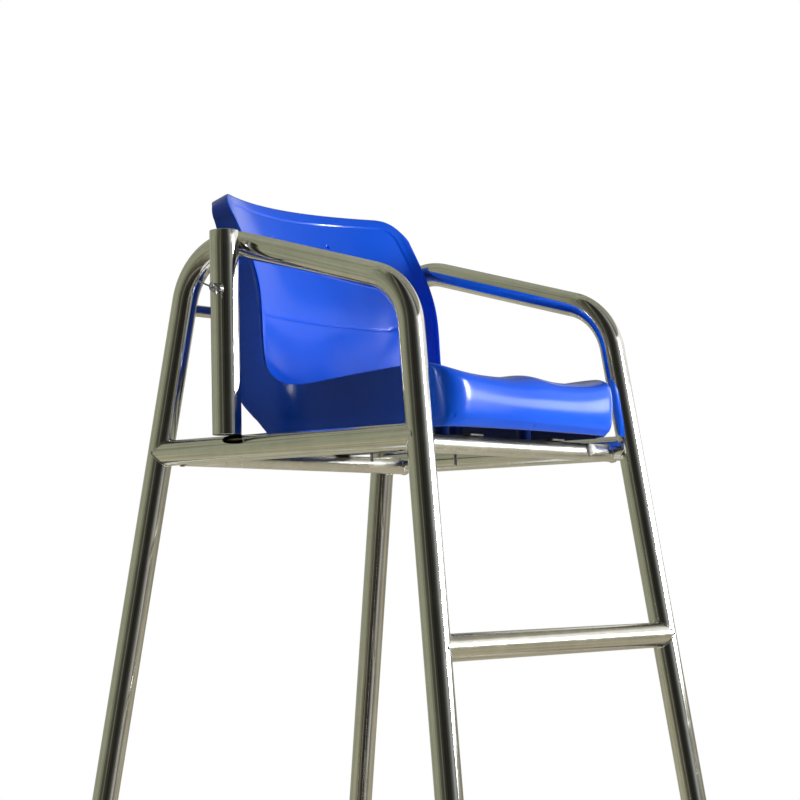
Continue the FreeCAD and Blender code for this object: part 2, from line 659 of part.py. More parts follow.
def parasol_post():
    moves = {"place_x": POST_X, "place_y": POST_Y, "place_z": POST_BASE}
    outer = rod("post_outer", "Dims.post_diameter / 2", "Dims.post_height", **moves)
    bore = rod("post_bore", "Dims.post_diameter / 2 - Dims.post_wall", "Dims.post_height", **moves)
    window = clamp_frame(group("post_window_placed", [
        rod("post_window", "Dims.pad_radius + Dims.pad_gap", "Dims.post_diameter", "x")]))
    return cut("parasol_post", cut("post_tube", outer, bore), window)


PAD_BACK = "(Dims.post_diameter / 2 - Dims.post_wall + Dims.post_wall / 3 + Dims.pad_thickness)"
BOSS_SHELF = f"({PAD_BACK} + Dims.pad_gap)"
BOSS_END = f"({BOSS_SHELF} + Dims.boss_length)"
EYE_CENTRE = f"({BOSS_END} + Dims.clamp_travel + Dims.pad_gap * 2 + Dims.eye_radius + Dims.eye_wire)"


def clamp_boss():
    block = rod("boss_block", "Dims.boss_radius", BOSS_END, "x")
    recess = rod("boss_recess", "Dims.pad_radius + Dims.pad_gap", BOSS_SHELF, "x")
    thread = rod("boss_thread", "Dims.screw_radius + Dims.running_gap", BOSS_END, "x")
    post = rod("boss_saddle", "Dims.post_diameter / 2", "Dims.boss_radius * 4", "z", True)
    return clamp_frame(cut("clamp_boss", block, recess, thread, post))


def clamp_pad():
    pad = rod("clamp_pad_disc", "Dims.pad_radius", "Dims.pad_thickness", "x",
              place_x=f"{PAD_BACK} - Dims.pad_thickness")
    return clamp_frame(group("clamp_pad", [pad]))


def clamp_screw():
    stem = rod("screw_stem", "Dims.screw_radius", f"{EYE_CENTRE} - Dims.eye_radius - {PAD_BACK}", "x",
               place_x=PAD_BACK)
    eye = doc.addObject("Part::Torus", "screw_eye")
    eye.Placement = Placement(Vector(), Rotation(Vector(1, 0, 0), 90))
    bind(eye, Radius1="Dims.eye_radius", Radius2="Dims.eye_wire", place_x=EYE_CENTRE)
    return clamp_frame(fuse("clamp_screw", stem, eye))


def clamp_handle():
    """A bent wire through the eye: a long arm and a short hooked end."""
    handle = doc.addObject("Part::Feature", "clamp_handle")
    radius = DIMENSIONS["handle_radius"]
    bend = radius * 2.5
    tilt = math.radians(DIMENSIONS["handle_tilt"])
    long_end = Vector(0, -math.cos(tilt), math.sin(tilt)) * DIMENSIONS["handle_length"]
    elbow = Vector(0, math.cos(tilt), -math.sin(tilt)) * DIMENSIONS["handle_hook"]
    hook_end = elbow + Vector(0, 0, -DIMENSIONS["handle_hook"])
    arc = fillet_points(long_end, elbow, hook_end, bend)
    path = Part.Wire([Part.makeLine(long_end, arc[0]), Part.Arc(*arc).toShape(), Part.makeLine(arc[2], hook_end)])
    section = Part.Wire(Part.makeCircle(radius, long_end, arc[0] - long_end))
    handle.Shape = path.makePipeShell([section], True, True)
    seat_in_eye = "Dims.eye_radius - Dims.eye_wire - Dims.handle_radius"
    return clamp_frame(shifted(handle, f"{EYE_CENTRE} + {seat_in_eye}"))


def shifted(part, distance):
    """A part moved along its own x, held in a group that can be placed."""
    bind(part, place_x=distance)
    return group(f"{part.Name}_held", [part])


# Cap: a white push-in plug over the vent hole of the front cross rail.
def cap_frame(part):
    """Turn a piece, drawn to point forward from the origin, up around the front rail."""
    part.Placement = Placement(Vector(), Rotation(Vector(-1, 0, 0), DIMENSIONS["cap_tilt"]))
    bind(part, place_x="Dims.frame_width / 2 - Dims.cap_inset", place_y=FRONT_RAIL_Y, place_z=CROSS_Z)
    part.setExpression("Placement.Rotation.Angle", "Dims.cap_tilt * 1deg")
    return part


def rail_cap():
    reach = "(Dims.cross_diameter / 2 + Dims.cap_height)"
    head = rod("cap_dome", "Dims.cap_radius", reach, "y", place_y=f"-{reach}")
    rail = rod("cap_saddle", "Dims.cross_diameter / 2", "Dims.cap_radius * 4", "x", True)
    stem = rod("cap_stem", "Dims.cap_stem", "Dims.cap_height + Dims.cross_wall * 3", "y", place_y=f"-{reach}")
    return cap_frame(fuse("rail_cap", cut("cap_head", head, rail), stem))


def vent_drill():
    drill = rod("vent_drill", "Dims.cap_stem", "Dims.cross_diameter", "y", place_y="-Dims.cross_diameter")
    return cap_frame(group("vent_drill_placed", [drill]))


def build_chair():
    """Every sub-part of the chair, by its label."""
    nodes = {}
    bars = {side: leg_bars(side) for side in SIDES}
    both_bars = [bars[side] for side in SIDES]
    rails = [rail_bar(side) for side in SIDES]
    drills = stud_drills()
    for side in SIDES:
        nodes[f"side_frame_{side}"] = side_frame(f"side_frame_{side}", side)
        nodes[f"seat_side_rail_{side}"] = side_rail(f"seat_side_rail_{side}", side, bars[side])
        nodes[f"side_brace_{side}"] = side_brace(f"side_brace_{side}", side, bars[side])
        for pair in ("front", "rear"):
            nodes[f"{pair}_foot_{side}"] = foot(f"{pair}_foot_{side}", side, pair, bars[side])
    for number in range(1, RUNG_COUNT + 1):
        name = f"rung_{number}"
        nodes[name] = leg_tie(name, "front", "Dims.tube_diameter", "Dims.tube_wall",
                              f"(Dims.rung_pitch * {number})", both_bars)
    nodes["rear_brace"] = leg_tie("rear_brace", "rear", "Dims.brace_diameter", "Dims.brace_wall",
                                  "(Dims.rail_height - Dims.brace_height - Dims.rung_pitch)", both_bars)
    nodes["back_rail"] = leg_tie("back_rail", "rear", "Dims.back_rail_diameter", "Dims.back_rail_wall",
                                 "(-Dims.back_rail_height)", both_bars)
    nodes["seat_front_rail"] = cross_rail("seat_front_rail", FRONT_RAIL_Y, *rails, vent_drill())
    nodes["seat_rear_rail"] = cross_rail("seat_rear_rail", REAR_RAIL_Y, *rails)
    for side, sign in SIDES.items():
        nodes[f"seat_strap_{side}"] = seat_strap(f"seat_strap_{side}", sign, drills)
    nodes["seat_shell"] = seat_shell()
    nodes["seat_studs"] = seat_studs()
    nodes["seat_washers"] = seat_washers()
    nodes["seat_nuts"] = seat_nuts()
    nodes["parasol_post"] = parasol_post()
    nodes["clamp_boss"] = clamp_boss()
    nodes["clamp_pad"] = clamp_pad()
    nodes["clamp_screw"] = clamp_screw()
    nodes["clamp_handle"] = clamp_handle()
    nodes["rail_cap"] = rail_cap()
    return nodes


def check_and_write(nodes):
    doc.recompute()
    for item in doc.Objects:
        if "Invalid" in item.State or "Error" in item.State:
            raise RuntimeError(f"{item.Name} failed: {item.State}")
    os.makedirs("parts", exist_ok=True)
    for label, item in nodes.items():
        item.Label = label
        shape = item.Shape
        if shape.isNull() or not shape.isValid() or not shape.Solids:
            raise RuntimeError(f"{label} has no valid shape")
        shape.exportStep(f"parts/{label}.step")
        print(f"{label}: {len(shape.Solids)} solid(s), {shape.Volume / 1000:.1f} cm3")


check_and_write(build_chair())
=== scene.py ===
import math

import bmesh
import bpy
import numpy as np
from mathutils import Matrix, Vector


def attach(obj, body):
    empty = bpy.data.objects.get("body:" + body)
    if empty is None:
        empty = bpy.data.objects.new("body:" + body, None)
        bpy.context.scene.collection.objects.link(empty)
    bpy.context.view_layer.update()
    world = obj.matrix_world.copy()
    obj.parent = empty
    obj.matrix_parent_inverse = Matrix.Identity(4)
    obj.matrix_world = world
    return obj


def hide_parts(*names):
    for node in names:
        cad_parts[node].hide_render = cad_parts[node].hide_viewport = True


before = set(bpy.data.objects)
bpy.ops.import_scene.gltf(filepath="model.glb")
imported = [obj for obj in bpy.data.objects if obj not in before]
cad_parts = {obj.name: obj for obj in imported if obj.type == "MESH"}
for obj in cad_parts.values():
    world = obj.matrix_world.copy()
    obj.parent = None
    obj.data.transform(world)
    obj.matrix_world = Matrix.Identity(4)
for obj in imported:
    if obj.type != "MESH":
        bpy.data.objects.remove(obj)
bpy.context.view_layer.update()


# ---- Camera -------------------------------------------------------------------
# A long lens at adult eye level, a little in front of the sitter's right side, so
# that the upper part of the tall stand fills the frame and the floor stays below it.
def placed(name, data):
    """A new object that is linked to the scene."""
    made = bpy.data.objects.new(name, data)
    bpy.context.scene.collection.objects.link(made)
    return made


camera_data = bpy.data.cameras.new("view_camera")
camera_data.lens = 100.14
camera_data.sensor_width = 36.0
camera_data.sensor_fit = "HORIZONTAL"
camera_data.clip_end = 60.0
camera = placed("view_camera", camera_data)
toward_eye = Vector((-0.78286, -0.61697, -0.08054)).normalized()
level_right = Vector((math.cos(math.radians(-51.758)), math.sin(math.radians(-51.758)), 0.0))
level_up = toward_eye.cross(level_right)
tilt = math.radians(-1.276)
eye_right = level_right * math.cos(tilt) + level_up * math.sin(tilt)
eye_up = level_up * math.cos(tilt) - level_right * math.sin(tilt)
camera.matrix_world = Matrix.Translation((-2.9923, -2.4004, 1.5543)) @ Matrix(
    (eye_right, eye_up, toward_eye)).transposed().to_4x4()
bpy.context.scene.camera = camera
bpy.context.scene.view_settings.view_transform = "Standard"


# ---- Studio -------------------------------------------------------------------
# A white surround with a soft key lamp in front, a weaker one overhead and one behind.
# Plain cards stand outside the view for the polished steel and the seat to mirror.
def shader_tree(name):
    """A new material and its node tree, empty."""
    material = bpy.data.materials.new(name)
    material.use_nodes = True
    material.node_tree.nodes.clear()
    return material, material.node_tree


def add_node(tree, kind, **settings):
    """One node with its settings; a kind with no family is a shader node. Keys with a
    leading underscore are values of inputs, by the input's name or its number."""
    node = tree.nodes.new(kind if "Node" in kind else f"ShaderNode{kind}")
    for key, setting in settings.items():
        if key.startswith("_"):
            place = int(key[1:]) if key[1:].isdigit() else key[1:].replace("_", " ")
            node.inputs[place].default_value = setting
        else:
            setattr(node, key, setting)
    return node


def wire(tree, *joins):
    """Join nodes: each join is a node, the node it feeds, the input there, and the
    output it comes from when that isn't the first."""
    for source, target, into, *out in joins:
        tree.links.new(source.outputs[out[0] if out else 0], target.inputs[into])


def seen_directly(tree):
    """1 for what the eye, a mirror or clear glass sees, 0 for light on rough surfaces."""
    path = add_node(tree, "LightPath")
    glossy = add_node(tree, "Math", operation="MAXIMUM")
    both = add_node(tree, "Math", operation="MAXIMUM")
    wire(tree, (path, glossy, 0, "Is Camera Ray"), (path, glossy, 1, "Is Glossy Ray"), (glossy, both, 0),
         (path, both, 1, "Is Transmission Ray"))
    return both


world = bpy.data.worlds.new("studio_surround")
bpy.context.scene.world = world
world.use_nodes = True
sky = world.node_tree
sky.nodes.clear()
sky_fill = add_node(sky, "Background", _Color=(0.90, 0.95, 1.0, 1))
sky_way = add_node(sky, "TexCoord")
sky_parts = add_node(sky, "SeparateXYZ")
sky_level = add_node(sky, "MapRange", _From_Min=-0.45, _From_Max=0.35, _To_Min=0.02, _To_Max=0.13)
sky_white = add_node(sky, "Background", _Color=(1, 1, 1, 1), _Strength=1.0)
sky_mix = add_node(sky, "MixShader")
wire(sky, (sky_way, sky_parts, 0, "Generated"), (sky_parts, sky_level, "Value", "Z"),
     (sky_level, sky_fill, "Strength"), (seen_directly(sky), sky_mix, 0), (sky_fill, sky_mix, 1),
     (sky_white, sky_mix, 2), (sky_mix, add_node(sky, "OutputWorld"), "Surface"))


def surface(tree, shader):
    """End a material with its shader."""
    wire(tree, (shader, add_node(tree, "OutputMaterial"), "Surface"))


def see_through(tree, fade, shader):
    """End a material with a shader that turns clear where a fade is 1."""
    clear, mix = add_node(tree, "BsdfTransparent"), add_node(tree, "MixShader")
    wire(tree, (fade, mix, 0), (shader, mix, 1), (clear, mix, 2))
    surface(tree, mix)


# A pale floor that fades out well away from the chair. Rough surfaces see it darker.
floor_mesh = bpy.data.meshes.new("studio_floor")
floor_form = bmesh.new()
bmesh.ops.create_circle(floor_form, cap_ends=True, segments=128, radius=5.0)
floor_form.to_mesh(floor_mesh)
floor_form.free()
floor = placed("studio_floor", floor_mesh)
floor.location = (0, 0, -0.0005)
floor_paint, paint = shader_tree("floor_paint")
floor_place = add_node(paint, "TexCoord")
floor_reach = add_node(paint, "VectorMath", operation="LENGTH")
floor_fade = add_node(paint, "MapRange", interpolation_type="SMOOTHSTEP", _From_Min=1.4, _From_Max=4.6)
floor_matt = add_node(paint, "BsdfDiffuse", _Color=(0.86, 0.86, 0.86, 1))
floor_glow = add_node(paint, "Emission", _Color=(1, 1, 1, 1), _Strength=0.52)
floor_pale = add_node(paint, "AddShader")
floor_dull = add_node(paint, "BsdfDiffuse", _Color=(0.16, 0.16, 0.15, 1))
floor_side = add_node(paint, "MixShader")
wire(paint, (floor_place, floor_reach, 0, "Object"), (floor_reach, floor_fade, "Value", "Value"),
     (floor_matt, floor_pale, 0), (floor_glow, floor_pale, 1), (seen_directly(paint), floor_side, 0),
     (floor_dull, floor_side, 1), (floor_pale, floor_side, 2))
see_through(paint, floor_fade, floor_side)
floor.data.materials.append(floor_paint)


def aimed(azimuth, rise, reach, centre):
    """Where a lamp or card stands that looks at a centre from a direction in degrees."""
    turn, tip = math.radians(azimuth), math.radians(rise)
    away = Vector((math.cos(turn) * math.cos(tip), math.sin(turn) * math.cos(tip), math.sin(tip)))
    return Matrix.Translation(Vector(centre) + away * reach) @ away.to_track_quat("Z", "Y").to_matrix().to_4x4()


def mirror_only(card, paint):
    """Dress a card and show it to shiny surfaces alone."""
    card.data.materials.append(paint)
    card.visible_camera = card.visible_diffuse = card.visible_shadow = card.visible_transmission = False


def soft_box(name, azimuth, rise, reach, size, power):
    """A square lamp on a stand, turned to the seat. Shiny surfaces don't mirror it."""
    data = bpy.data.lights.new(name, "AREA")
    data.shape = "SQUARE"
    data.size = size
    data.energy = power
    lamp = placed(name, data)
    lamp.matrix_world = aimed(azimuth, rise, reach, (0, 0, 1.9))
    lamp.visible_glossy = False


soft_box("soft_key", 296, -3, 2.5, 0.9, 66.0)
soft_box("soft_fill", 80, 12, 3.0, 1.6, 9.0)
soft_box("soft_top", 215, 82, 3.6, 1.4, 13.0)

# Mirror wall: a curved screen round the set that only shiny surfaces see, with a roof
# and a floor ring painted alike. Its paint runs from olive to near black.
# Stops: direction in degrees, paint, height of the screen's upper edge in metres.
WALL_STOPS = (
    (0, (0.30, 0.30, 0.25), 2.0), (20, (0.34, 0.34, 0.27), 2.2), (30, (0.35, 0.36, 0.28), 10.0),
    (92, (0.36, 0.37, 0.28), 22.0), (150, (0.30, 0.31, 0.22), 22.0), (166, (0.12, 0.12, 0.085), 13.0),
    (182, (0.05, 0.05, 0.038), 12.0), (190, (0.20, 0.20, 0.16), 12.0), (197, (0.05, 0.05, 0.038), 12.0),
    (218, (0.018, 0.017, 0.014), 11.0), (238, (0.028, 0.028, 0.024), 9.0), (252, (0.075, 0.080, 0.078), 7.0),
    (266, (0.30, 0.31, 0.30), 6.0), (277, (0.42, 0.43, 0.43), 5.0), (287, (0.15, 0.15, 0.14), 3.4),
    (298, (0.20, 0.20, 0.18), 3.3), (312, (0.34, 0.34, 0.26), 3.0), (345, (0.34, 0.33, 0.26), 2.8),
)
WALL_REACH, WALL_TOP, ROOF, SOFT_EDGE, NO_EDGE = 7.5, 24.0, 16.0, 1.3, 1000.0


def angles(count):
    """Directions spaced evenly round a circle."""
    return [2 * math.pi * k / count for k in range(count)]


def ring_faces(rings, around, base=0, closed=False):
    """Quads between neighbouring rings of points; closed joins the last ring to the first."""
    return [(base + i * around + k, base + i * around + (k + 1) % around,
             base + (i + 1) % rings * around + (k + 1) % around, base + (i + 1) % rings * around + k)
            for i in range(rings if closed else rings - 1) for k in range(around)]


def plain_mesh(name, points, faces):
    """A mesh of points and the faces between them."""
    mesh = bpy.data.meshes.new(name)
    mesh.from_pydata(points, [], faces)
    return mesh


def painted_ring(name, rings, highest=WALL_TOP, tint=(1, 1, 1)):
    """A card seen only in reflections; rings are its circles, as radius and height."""
    steps = 96
    corners = [(r * math.cos(a), r * math.sin(a), z) for r, z in rings for a in angles(steps)]
    card = placed(name, plain_mesh(name, corners, ring_faces(len(rings), steps)))
    paint, tree = shader_tree(f"{name}_paint")
    place = add_node(tree, "TexCoord")
    parts = add_node(tree, "SeparateXYZ")
    turn = add_node(tree, "Math", operation="ARCTAN2")
    share = add_node(tree, "Math", operation="DIVIDE", _1=2 * math.pi)
    wrap = add_node(tree, "Math", operation="FRACT")
    tone, top = (add_node(tree, "ValToRGB") for _ in range(2))
    for ramp, pick in ((tone, lambda stop: (*stop[1], 1)), (top, lambda stop: (*[stop[2] / WALL_TOP] * 3, 1))):
        while len(ramp.color_ramp.elements) < len(WALL_STOPS):
            ramp.color_ramp.elements.new(0.5)
        for element, stop in zip(ramp.color_ramp.elements, WALL_STOPS):
            element.position = stop[0] / 360
            element.color = pick(stop)
    streak_place = add_node(tree, "Mapping", _Scale=(1.5, 1.5, 0.10))
    streak = add_node(tree, "TexNoise", _Scale=1.0, _Detail=4.0, _Roughness=0.6)
    shade = add_node(tree, "MapRange", _From_Min=0.30, _From_Max=0.70, _To_Min=0.45, _To_Max=1.45)
    height = add_node(tree, "Math", operation="MULTIPLY", _1=highest)
    above = add_node(tree, "Math", operation="SUBTRACT")
    fade = add_node(tree, "MapRange", interpolation_type="SMOOTHSTEP", _From_Min=-SOFT_EDGE, _From_Max=SOFT_EDGE)
    tinted = add_node(tree, "VectorMath", operation="MULTIPLY", _1=tint)
    glow = add_node(tree, "Emission")
    wire(tree, (place, parts, 0, "Object"), (parts, turn, 0, "Y"), (parts, turn, 1, "X"), (turn, share, 0),
         (share, wrap, 0), (wrap, tone, 0), (wrap, top, 0), (place, streak_place, "Vector", "Object"),
         (streak_place, streak, "Vector"), (streak, shade, "Value"), (top, height, 0), (parts, above, 0, "Z"),
         (height, above, 1), (above, fade, "Value"), (tone, tinted, 0), (tinted, glow, "Color"),
         (shade, glow, "Strength"))
    see_through(tree, fade, glow)
    mirror_only(card, paint)


painted_ring("mirror_wall", ((WALL_REACH, -0.2), (WALL_REACH, ROOF)))
painted_ring("mirror_roof", ((7.3, 5.6), (7.3, ROOF), (0.3, ROOF)), NO_EDGE)
painted_ring("mirror_ground", ((1.15, 0.004), (WALL_REACH, 0.003)), tint=(1.30, 1.22, 1.20))


def glow_card(name, azimuth, rise, reach, wide, tall, strength):
    """A glowing card with soft edges that only shiny surfaces see."""
    corners = [(wide / 2 * x, tall / 2 * y, 0) for x, y in ((-1, -1), (1, -1), (1, 1), (-1, 1))]
    card = placed(name, plain_mesh(name, corners, [(0, 1, 2, 3)]))
    card.matrix_world = aimed(azimuth, rise, reach, (0, -0.3, 1.85))
    paint, tree = shader_tree(f"{name}_paint")
    place = add_node(tree, "TexCoord")
    scale = add_node(tree, "Mapping", _Scale=(2 / wide, 2 / tall, 1.0))
    centre = add_node(tree, "VectorMath", operation="LENGTH")
    fade = add_node(tree, "MapRange", interpolation_type="SMOOTHSTEP", _From_Min=0.55, _From_Max=1.0)
    glow = add_node(tree, "Emission", _Color=(0.97, 0.99, 1.0, 1), _Strength=strength)
    wire(tree, (place, scale, "Vector", "Object"), (scale, centre, 0), (centre, fade, "Value", "Value"))
    see_through(tree, fade, glow)
    mirror_only(card, paint)


glow_card("lip_card", 326, 6, 5.0, 4.4, 1.3, 6.0)
glow_card("key_card", 300, 13, 5.0, 1.3, 2.4, 70.0)


# ---- Side frames --------------------------------------------------------------
# Each side is one length of polished stainless tube: rear leg, bend, armrest, bend
# and front leg. Both sides lean in at the top. The ends stand in rubber feet.
TUBE_R, TUBE_WALL = 0.0215, 0.002
FRAME_HALF_WIDTH, FRAME_HALF_DEPTH, RAIL_HEIGHT = 0.299, 0.277, 1.775
SIDE_RAKE, FRONT_RAKE, REAR_RAKE, ARM_SLOPE = (math.radians(a) for a in (4.2, 7.3, 9.7, 15.9))
ARM_HEIGHT, BEND_RADIUS, FOOT_SOLE = 0.311, 0.103, 0.012
SIDE_TAN = math.tan(SIDE_RAKE)
FRONT_TAN = math.tan(FRONT_RAKE) / math.cos(SIDE_RAKE)
REAR_TAN = math.tan(REAR_RAKE) / math.cos(SIDE_RAKE)
CENTRE_Y = (FRONT_TAN - REAR_TAN) * RAIL_HEIGHT / 2
SIDES = {"right": -1, "left": 1}
RING = 72


def two_tone(tree, low_at, low, high_at, high):
    """A ramp from one colour to another."""
    ramp = add_node(tree, "ValToRGB")
    for stop, at, colour in zip(ramp.color_ramp.elements, (low_at, high_at), (low, high)):
        stop.position, stop.color = at, (*colour, 1)
    return ramp


def polished_steel(name, tint, along_uv, dull=0.0):
    """Mirror-polished stainless: fine drawn lines along the tube and faint water marks."""
    material, tree = shader_tree(name)
    place = add_node(tree, "TexCoord")
    stretch = add_node(tree, "Mapping", _Scale=(520.0, 5.0, 1.0) if along_uv else (300.0, 300.0, 300.0))
    lines = add_node(tree, "TexNoise", _Scale=1.0, _Detail=4.0, _Roughness=0.6)
    marks = add_node(tree, "TexNoise", _Scale=26.0, _Detail=5.0, _Roughness=0.62)
    rough_lines = add_node(tree, "MapRange", _From_Min=0.3, _From_Max=0.75, _To_Min=0.055 + dull,
                           _To_Max=0.13 + dull)
    rough_marks = add_node(tree, "MapRange", _From_Min=0.52, _From_Max=0.75, _To_Max=0.10)
    rough = add_node(tree, "Math", operation="ADD")
    colour = two_tone(tree, 0.35, [c * 0.90 for c in tint], 0.75, tint)
    relief = add_node(tree, "Bump", _Strength=0.10, _Distance=0.0002)
    steel = add_node(tree, "BsdfPrincipled", _Metallic=1.0)
    wire(tree, (place, stretch, "Vector", "UV" if along_uv else "Object"), (place, marks, "Vector", "Object"),
         (stretch, lines, "Vector"), (lines, rough_lines, "Value"), (marks, rough_marks, "Value"),
         (rough_lines, rough, 0), (rough_marks, rough, 1), (marks, colour, 0), (lines, relief, "Height"),
         (colour, steel, "Base Color"), (rough, steel, "Roughness"), (relief, steel, "Normal"))
    surface(tree, steel)
    return material


TUBE_STEEL = polished_steel("polished_tube_steel", (0.80, 0.79, 0.74), True)
PLATE_STEEL = polished_steel("polished_plate_steel", (0.78, 0.77, 0.72), False)
SATIN_STEEL = polished_steel("satin_rail_steel", (0.88, 0.86, 0.79), True, 0.20)
RUNG_STEEL = polished_steel("satin_rung_steel", (0.78, 0.76, 0.68), True, 0.08)


def put_in_scene(name, mesh, material, body="stand", nodes=(), slot="polished_steel"):
    """Link a finished mesh, dress it, tie it to its body and hide the nodes it stands for."""
    made = placed(name, mesh)
    made.data.materials.clear()
    made.data.materials.append(material)
    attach(made, body)
    if nodes:
        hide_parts(*nodes)
    return made


def ring_uvs(places, around, girth, closed=False):
    """Where the corners of ring quads lie: round the tube and along it, in metres."""
    rings = len(places)
    return [(k / around * girth, places[i % rings]) for row in range(rings if closed else rings - 1)
            for column in range(around)
            for k, i in ((column, row), (column + 1, row), (column + 1, row + 1), (column, row + 1))]


def face_outward(mesh, merge=0.0):
    """Turn the faces of a mesh outwards, after merging points closer than a distance."""
    form = bmesh.new()
    form.from_mesh(mesh)
    if merge:
        bmesh.ops.remove_doubles(form, verts=form.verts, dist=merge)
    bmesh.ops.recalc_face_normals(form, faces=form.faces)
    form.to_mesh(mesh)
    form.free()


def soft_shaded(mesh, sharp):
    """Smooth shading, broken at edges sharper than an angle in degrees."""
    mesh.polygons.foreach_set("use_smooth", [True] * len(mesh.polygons))
    mesh.set_sharp_from_angle(angle=math.radians(sharp))


def mesh_with_uvs(name, points, faces, uvs):
    """A mesh whose map follows the tube."""
    mesh = plain_mesh(name, points, faces)
    mesh.uv_layers.new(name="along").data.foreach_set("uv", [value for uv in uvs for value in uv])
    return mesh


def skin_mesh(name, loops, lengths):
    """Mesh over a row of rings with equal point counts; the last ring joins the first."""
    rings, around = len(loops), len(loops[0])
    points = [tuple(point) for loop in loops for point in loop]
    mesh = mesh_with_uvs(name, points, ring_faces(rings, around, closed=True),
                         ring_uvs(lengths, around, 2 * math.pi * TUBE_R, closed=True))
    soft_shaded(mesh, 32.0)
    face_outward(mesh)
    return mesh


def ring_points(centre, across, up, radius):
    """Evenly spaced points of a circle."""
    return [centre + across * (radius * math.cos(a)) + up * (radius * math.sin(a)) for a in angles(RING)]


def round_corner(before, corner, after, radius, steps):
    """Points of the arc that rounds a corner of a path."""
    into, out = (before - corner).normalized(), (after - corner).normalized()
    half = into.angle(out) / 2
    centre = corner + (into + out).normalized() * (radius / math.sin(half))
    first = corner + into * (radius / math.tan(half)) - centre
    last = corner + out * (radius / math.tan(half)) - centre
    sweep = first.angle(last)
    return [centre + (first * math.sin(sweep * (1 - t)) + last * math.sin(sweep * t)) / math.sin(sweep)
            for t in (step / steps for step in range(steps + 1))]


def side_path(sign):
    """Centre line of one side frame from the rear foot to the front foot."""
    def stand(y, v):
        return Vector((sign * (FRAME_HALF_WIDTH - v * math.sin(SIDE_RAKE)), CENTRE_Y + y,
                       RAIL_HEIGHT + v * math.cos(SIDE_RAKE)))
    drop = (RAIL_HEIGHT - FOOT_SOLE) / math.cos(SIDE_RAKE)
    rear, front, slope = math.tan(REAR_RAKE), math.tan(FRONT_RAKE), math.tan(ARM_SLOPE)
    rear_y = (FRAME_HALF_DEPTH - rear * ARM_HEIGHT) / (1 + rear * slope)
    front_y = (-FRAME_HALF_DEPTH + front * ARM_HEIGHT) / (1 - front * slope)
    rear_foot = stand(FRAME_HALF_DEPTH + drop * rear, -drop)
    rear_top = stand(rear_y, ARM_HEIGHT + slope * rear_y)
    front_top = stand(front_y, ARM_HEIGHT + slope * front_y)
    front_foot = stand(-FRAME_HALF_DEPTH - drop * front, -drop)
    return ([rear_foot] + round_corner(rear_foot, rear_top, front_top, BEND_RADIUS, 30)
            + round_corner(rear_top, front_top, front_foot, BEND_RADIUS, 30) + [front_foot])


for side, sign in SIDES.items():
    line = side_path(sign)
    plane = (line[0] - line[10]).cross(line[-1] - line[10]).normalized()
    travel = [0.0]
    for a, b in zip(line, line[1:]):
        travel.append(travel[-1] + (b - a).length)
    outer, inner = [], []
    for i, point in enumerate(line):
        run = (line[min(i + 1, len(line) - 1)] - line[max(i - 1, 0)]).normalized()
        across = plane.cross(run).normalized()
        outer.append(ring_points(point, across, plane, TUBE_R))
        inner.append(ring_points(point, across, plane, TUBE_R - TUBE_WALL))
    side_mesh = skin_mesh(f"bent_frame_{side}", outer + inner[::-1], travel + travel[::-1])
    put_in_scene(f"bent_frame_{side}", side_mesh, TUBE_STEEL, nodes=(f"side_frame_{side}",))


# ---- Rungs, braces and seat rails ----------------------------------------------
# Straight tubes welded between the legs and between the side rails. Their ends are
# cut to the round of the tube that they meet, as a pipe notcher leaves them.
def leg_line(side, pair):
    """A point on a leg's centre line, its direction and its radius."""
    sign, way = SIDES[side], -1 if pair == "front" else 1
    slope = FRONT_TAN if pair == "front" else REAR_TAN
    start = Vector((sign * FRAME_HALF_WIDTH, CENTRE_Y + way * FRAME_HALF_DEPTH, RAIL_HEIGHT))
    return start, Vector((sign * SIDE_TAN, way * slope, -1.0)).normalized(), TUBE_R


def meeting(point, along, mate):
    """Distance from a point, along a direction, to the near side of a round bar."""
    origin, axis, radius = mate
    gap = point - origin
    flat_way = along - axis * along.dot(axis)
    flat_gap = gap - axis * gap.dot(axis)
    a, b = flat_way.dot(flat_way), flat_way.dot(flat_gap)
    c = flat_gap.dot(flat_gap) - radius * radius
    return (-b - math.sqrt(max(b * b - a * c, 0.0))) / a


def notched_tube(name, middle, along, radius, mates, material, nodes):
    """A straight tube from its middle both ways to the two bars that it is welded to,
    and the two seams for its weld beads. Its hidden ends are closed to a fine core."""
    up = along.cross(Vector((0, 0, 1))).cross(along).normalized()
    across = along.cross(up).normalized()

    def cut_ends(skin):
        ring = ring_points(middle, across, up, skin)
        return [[p + way * meeting(p, way, mate) for p in ring] for way, mate in zip((-along, along), mates)]

    loops, lengths = [], []
    for skin in (radius, CORE_R):
        ends = cut_ends(skin)
        rows = [[a.lerp(b, t) for a, b in zip(*ends)] for t in (0, 0.02, 0.1, 0.5, 0.9, 0.98, 1)]
        reach = [(row[0] - ends[0][0]).length for row in rows]
        loops += rows if skin == radius else rows[::-1]
        lengths += reach if skin == radius else reach[::-1]
    put_in_scene(name, skin_mesh(name, loops, lengths), material, nodes=nodes)
    weld_seams.extend(cut_ends(radius + SEAM_LIFT))


RUNG_PITCH, BRACE_HEIGHT, BRACE_R, CORE_R, SEAM_LIFT = 0.325, 0.312, 0.01685, 0.0003, 0.0003
CROSS_R, CROSS_DROP, FRONT_INSET, REAR_INSET = 0.015, 0.00815, 0.037, 0.052
BACK_RAIL_R, BACK_RAIL_RISE = 0.010, 0.243
weld_seams = []


def tie(name, pair, radius, down):
    """A level tube between the two front legs or the two rear legs."""
    slope, way = (FRONT_TAN, -1) if pair == "front" else (REAR_TAN, 1)
    middle = Vector((0, CENTRE_Y + way * (FRAME_HALF_DEPTH + down * slope), RAIL_HEIGHT - down))
    mates = (leg_line("right", pair), leg_line("left", pair))
    notched_tube(f"{name}_tube", middle, Vector((1, 0, 0)), radius, mates, RUNG_STEEL, (name,))


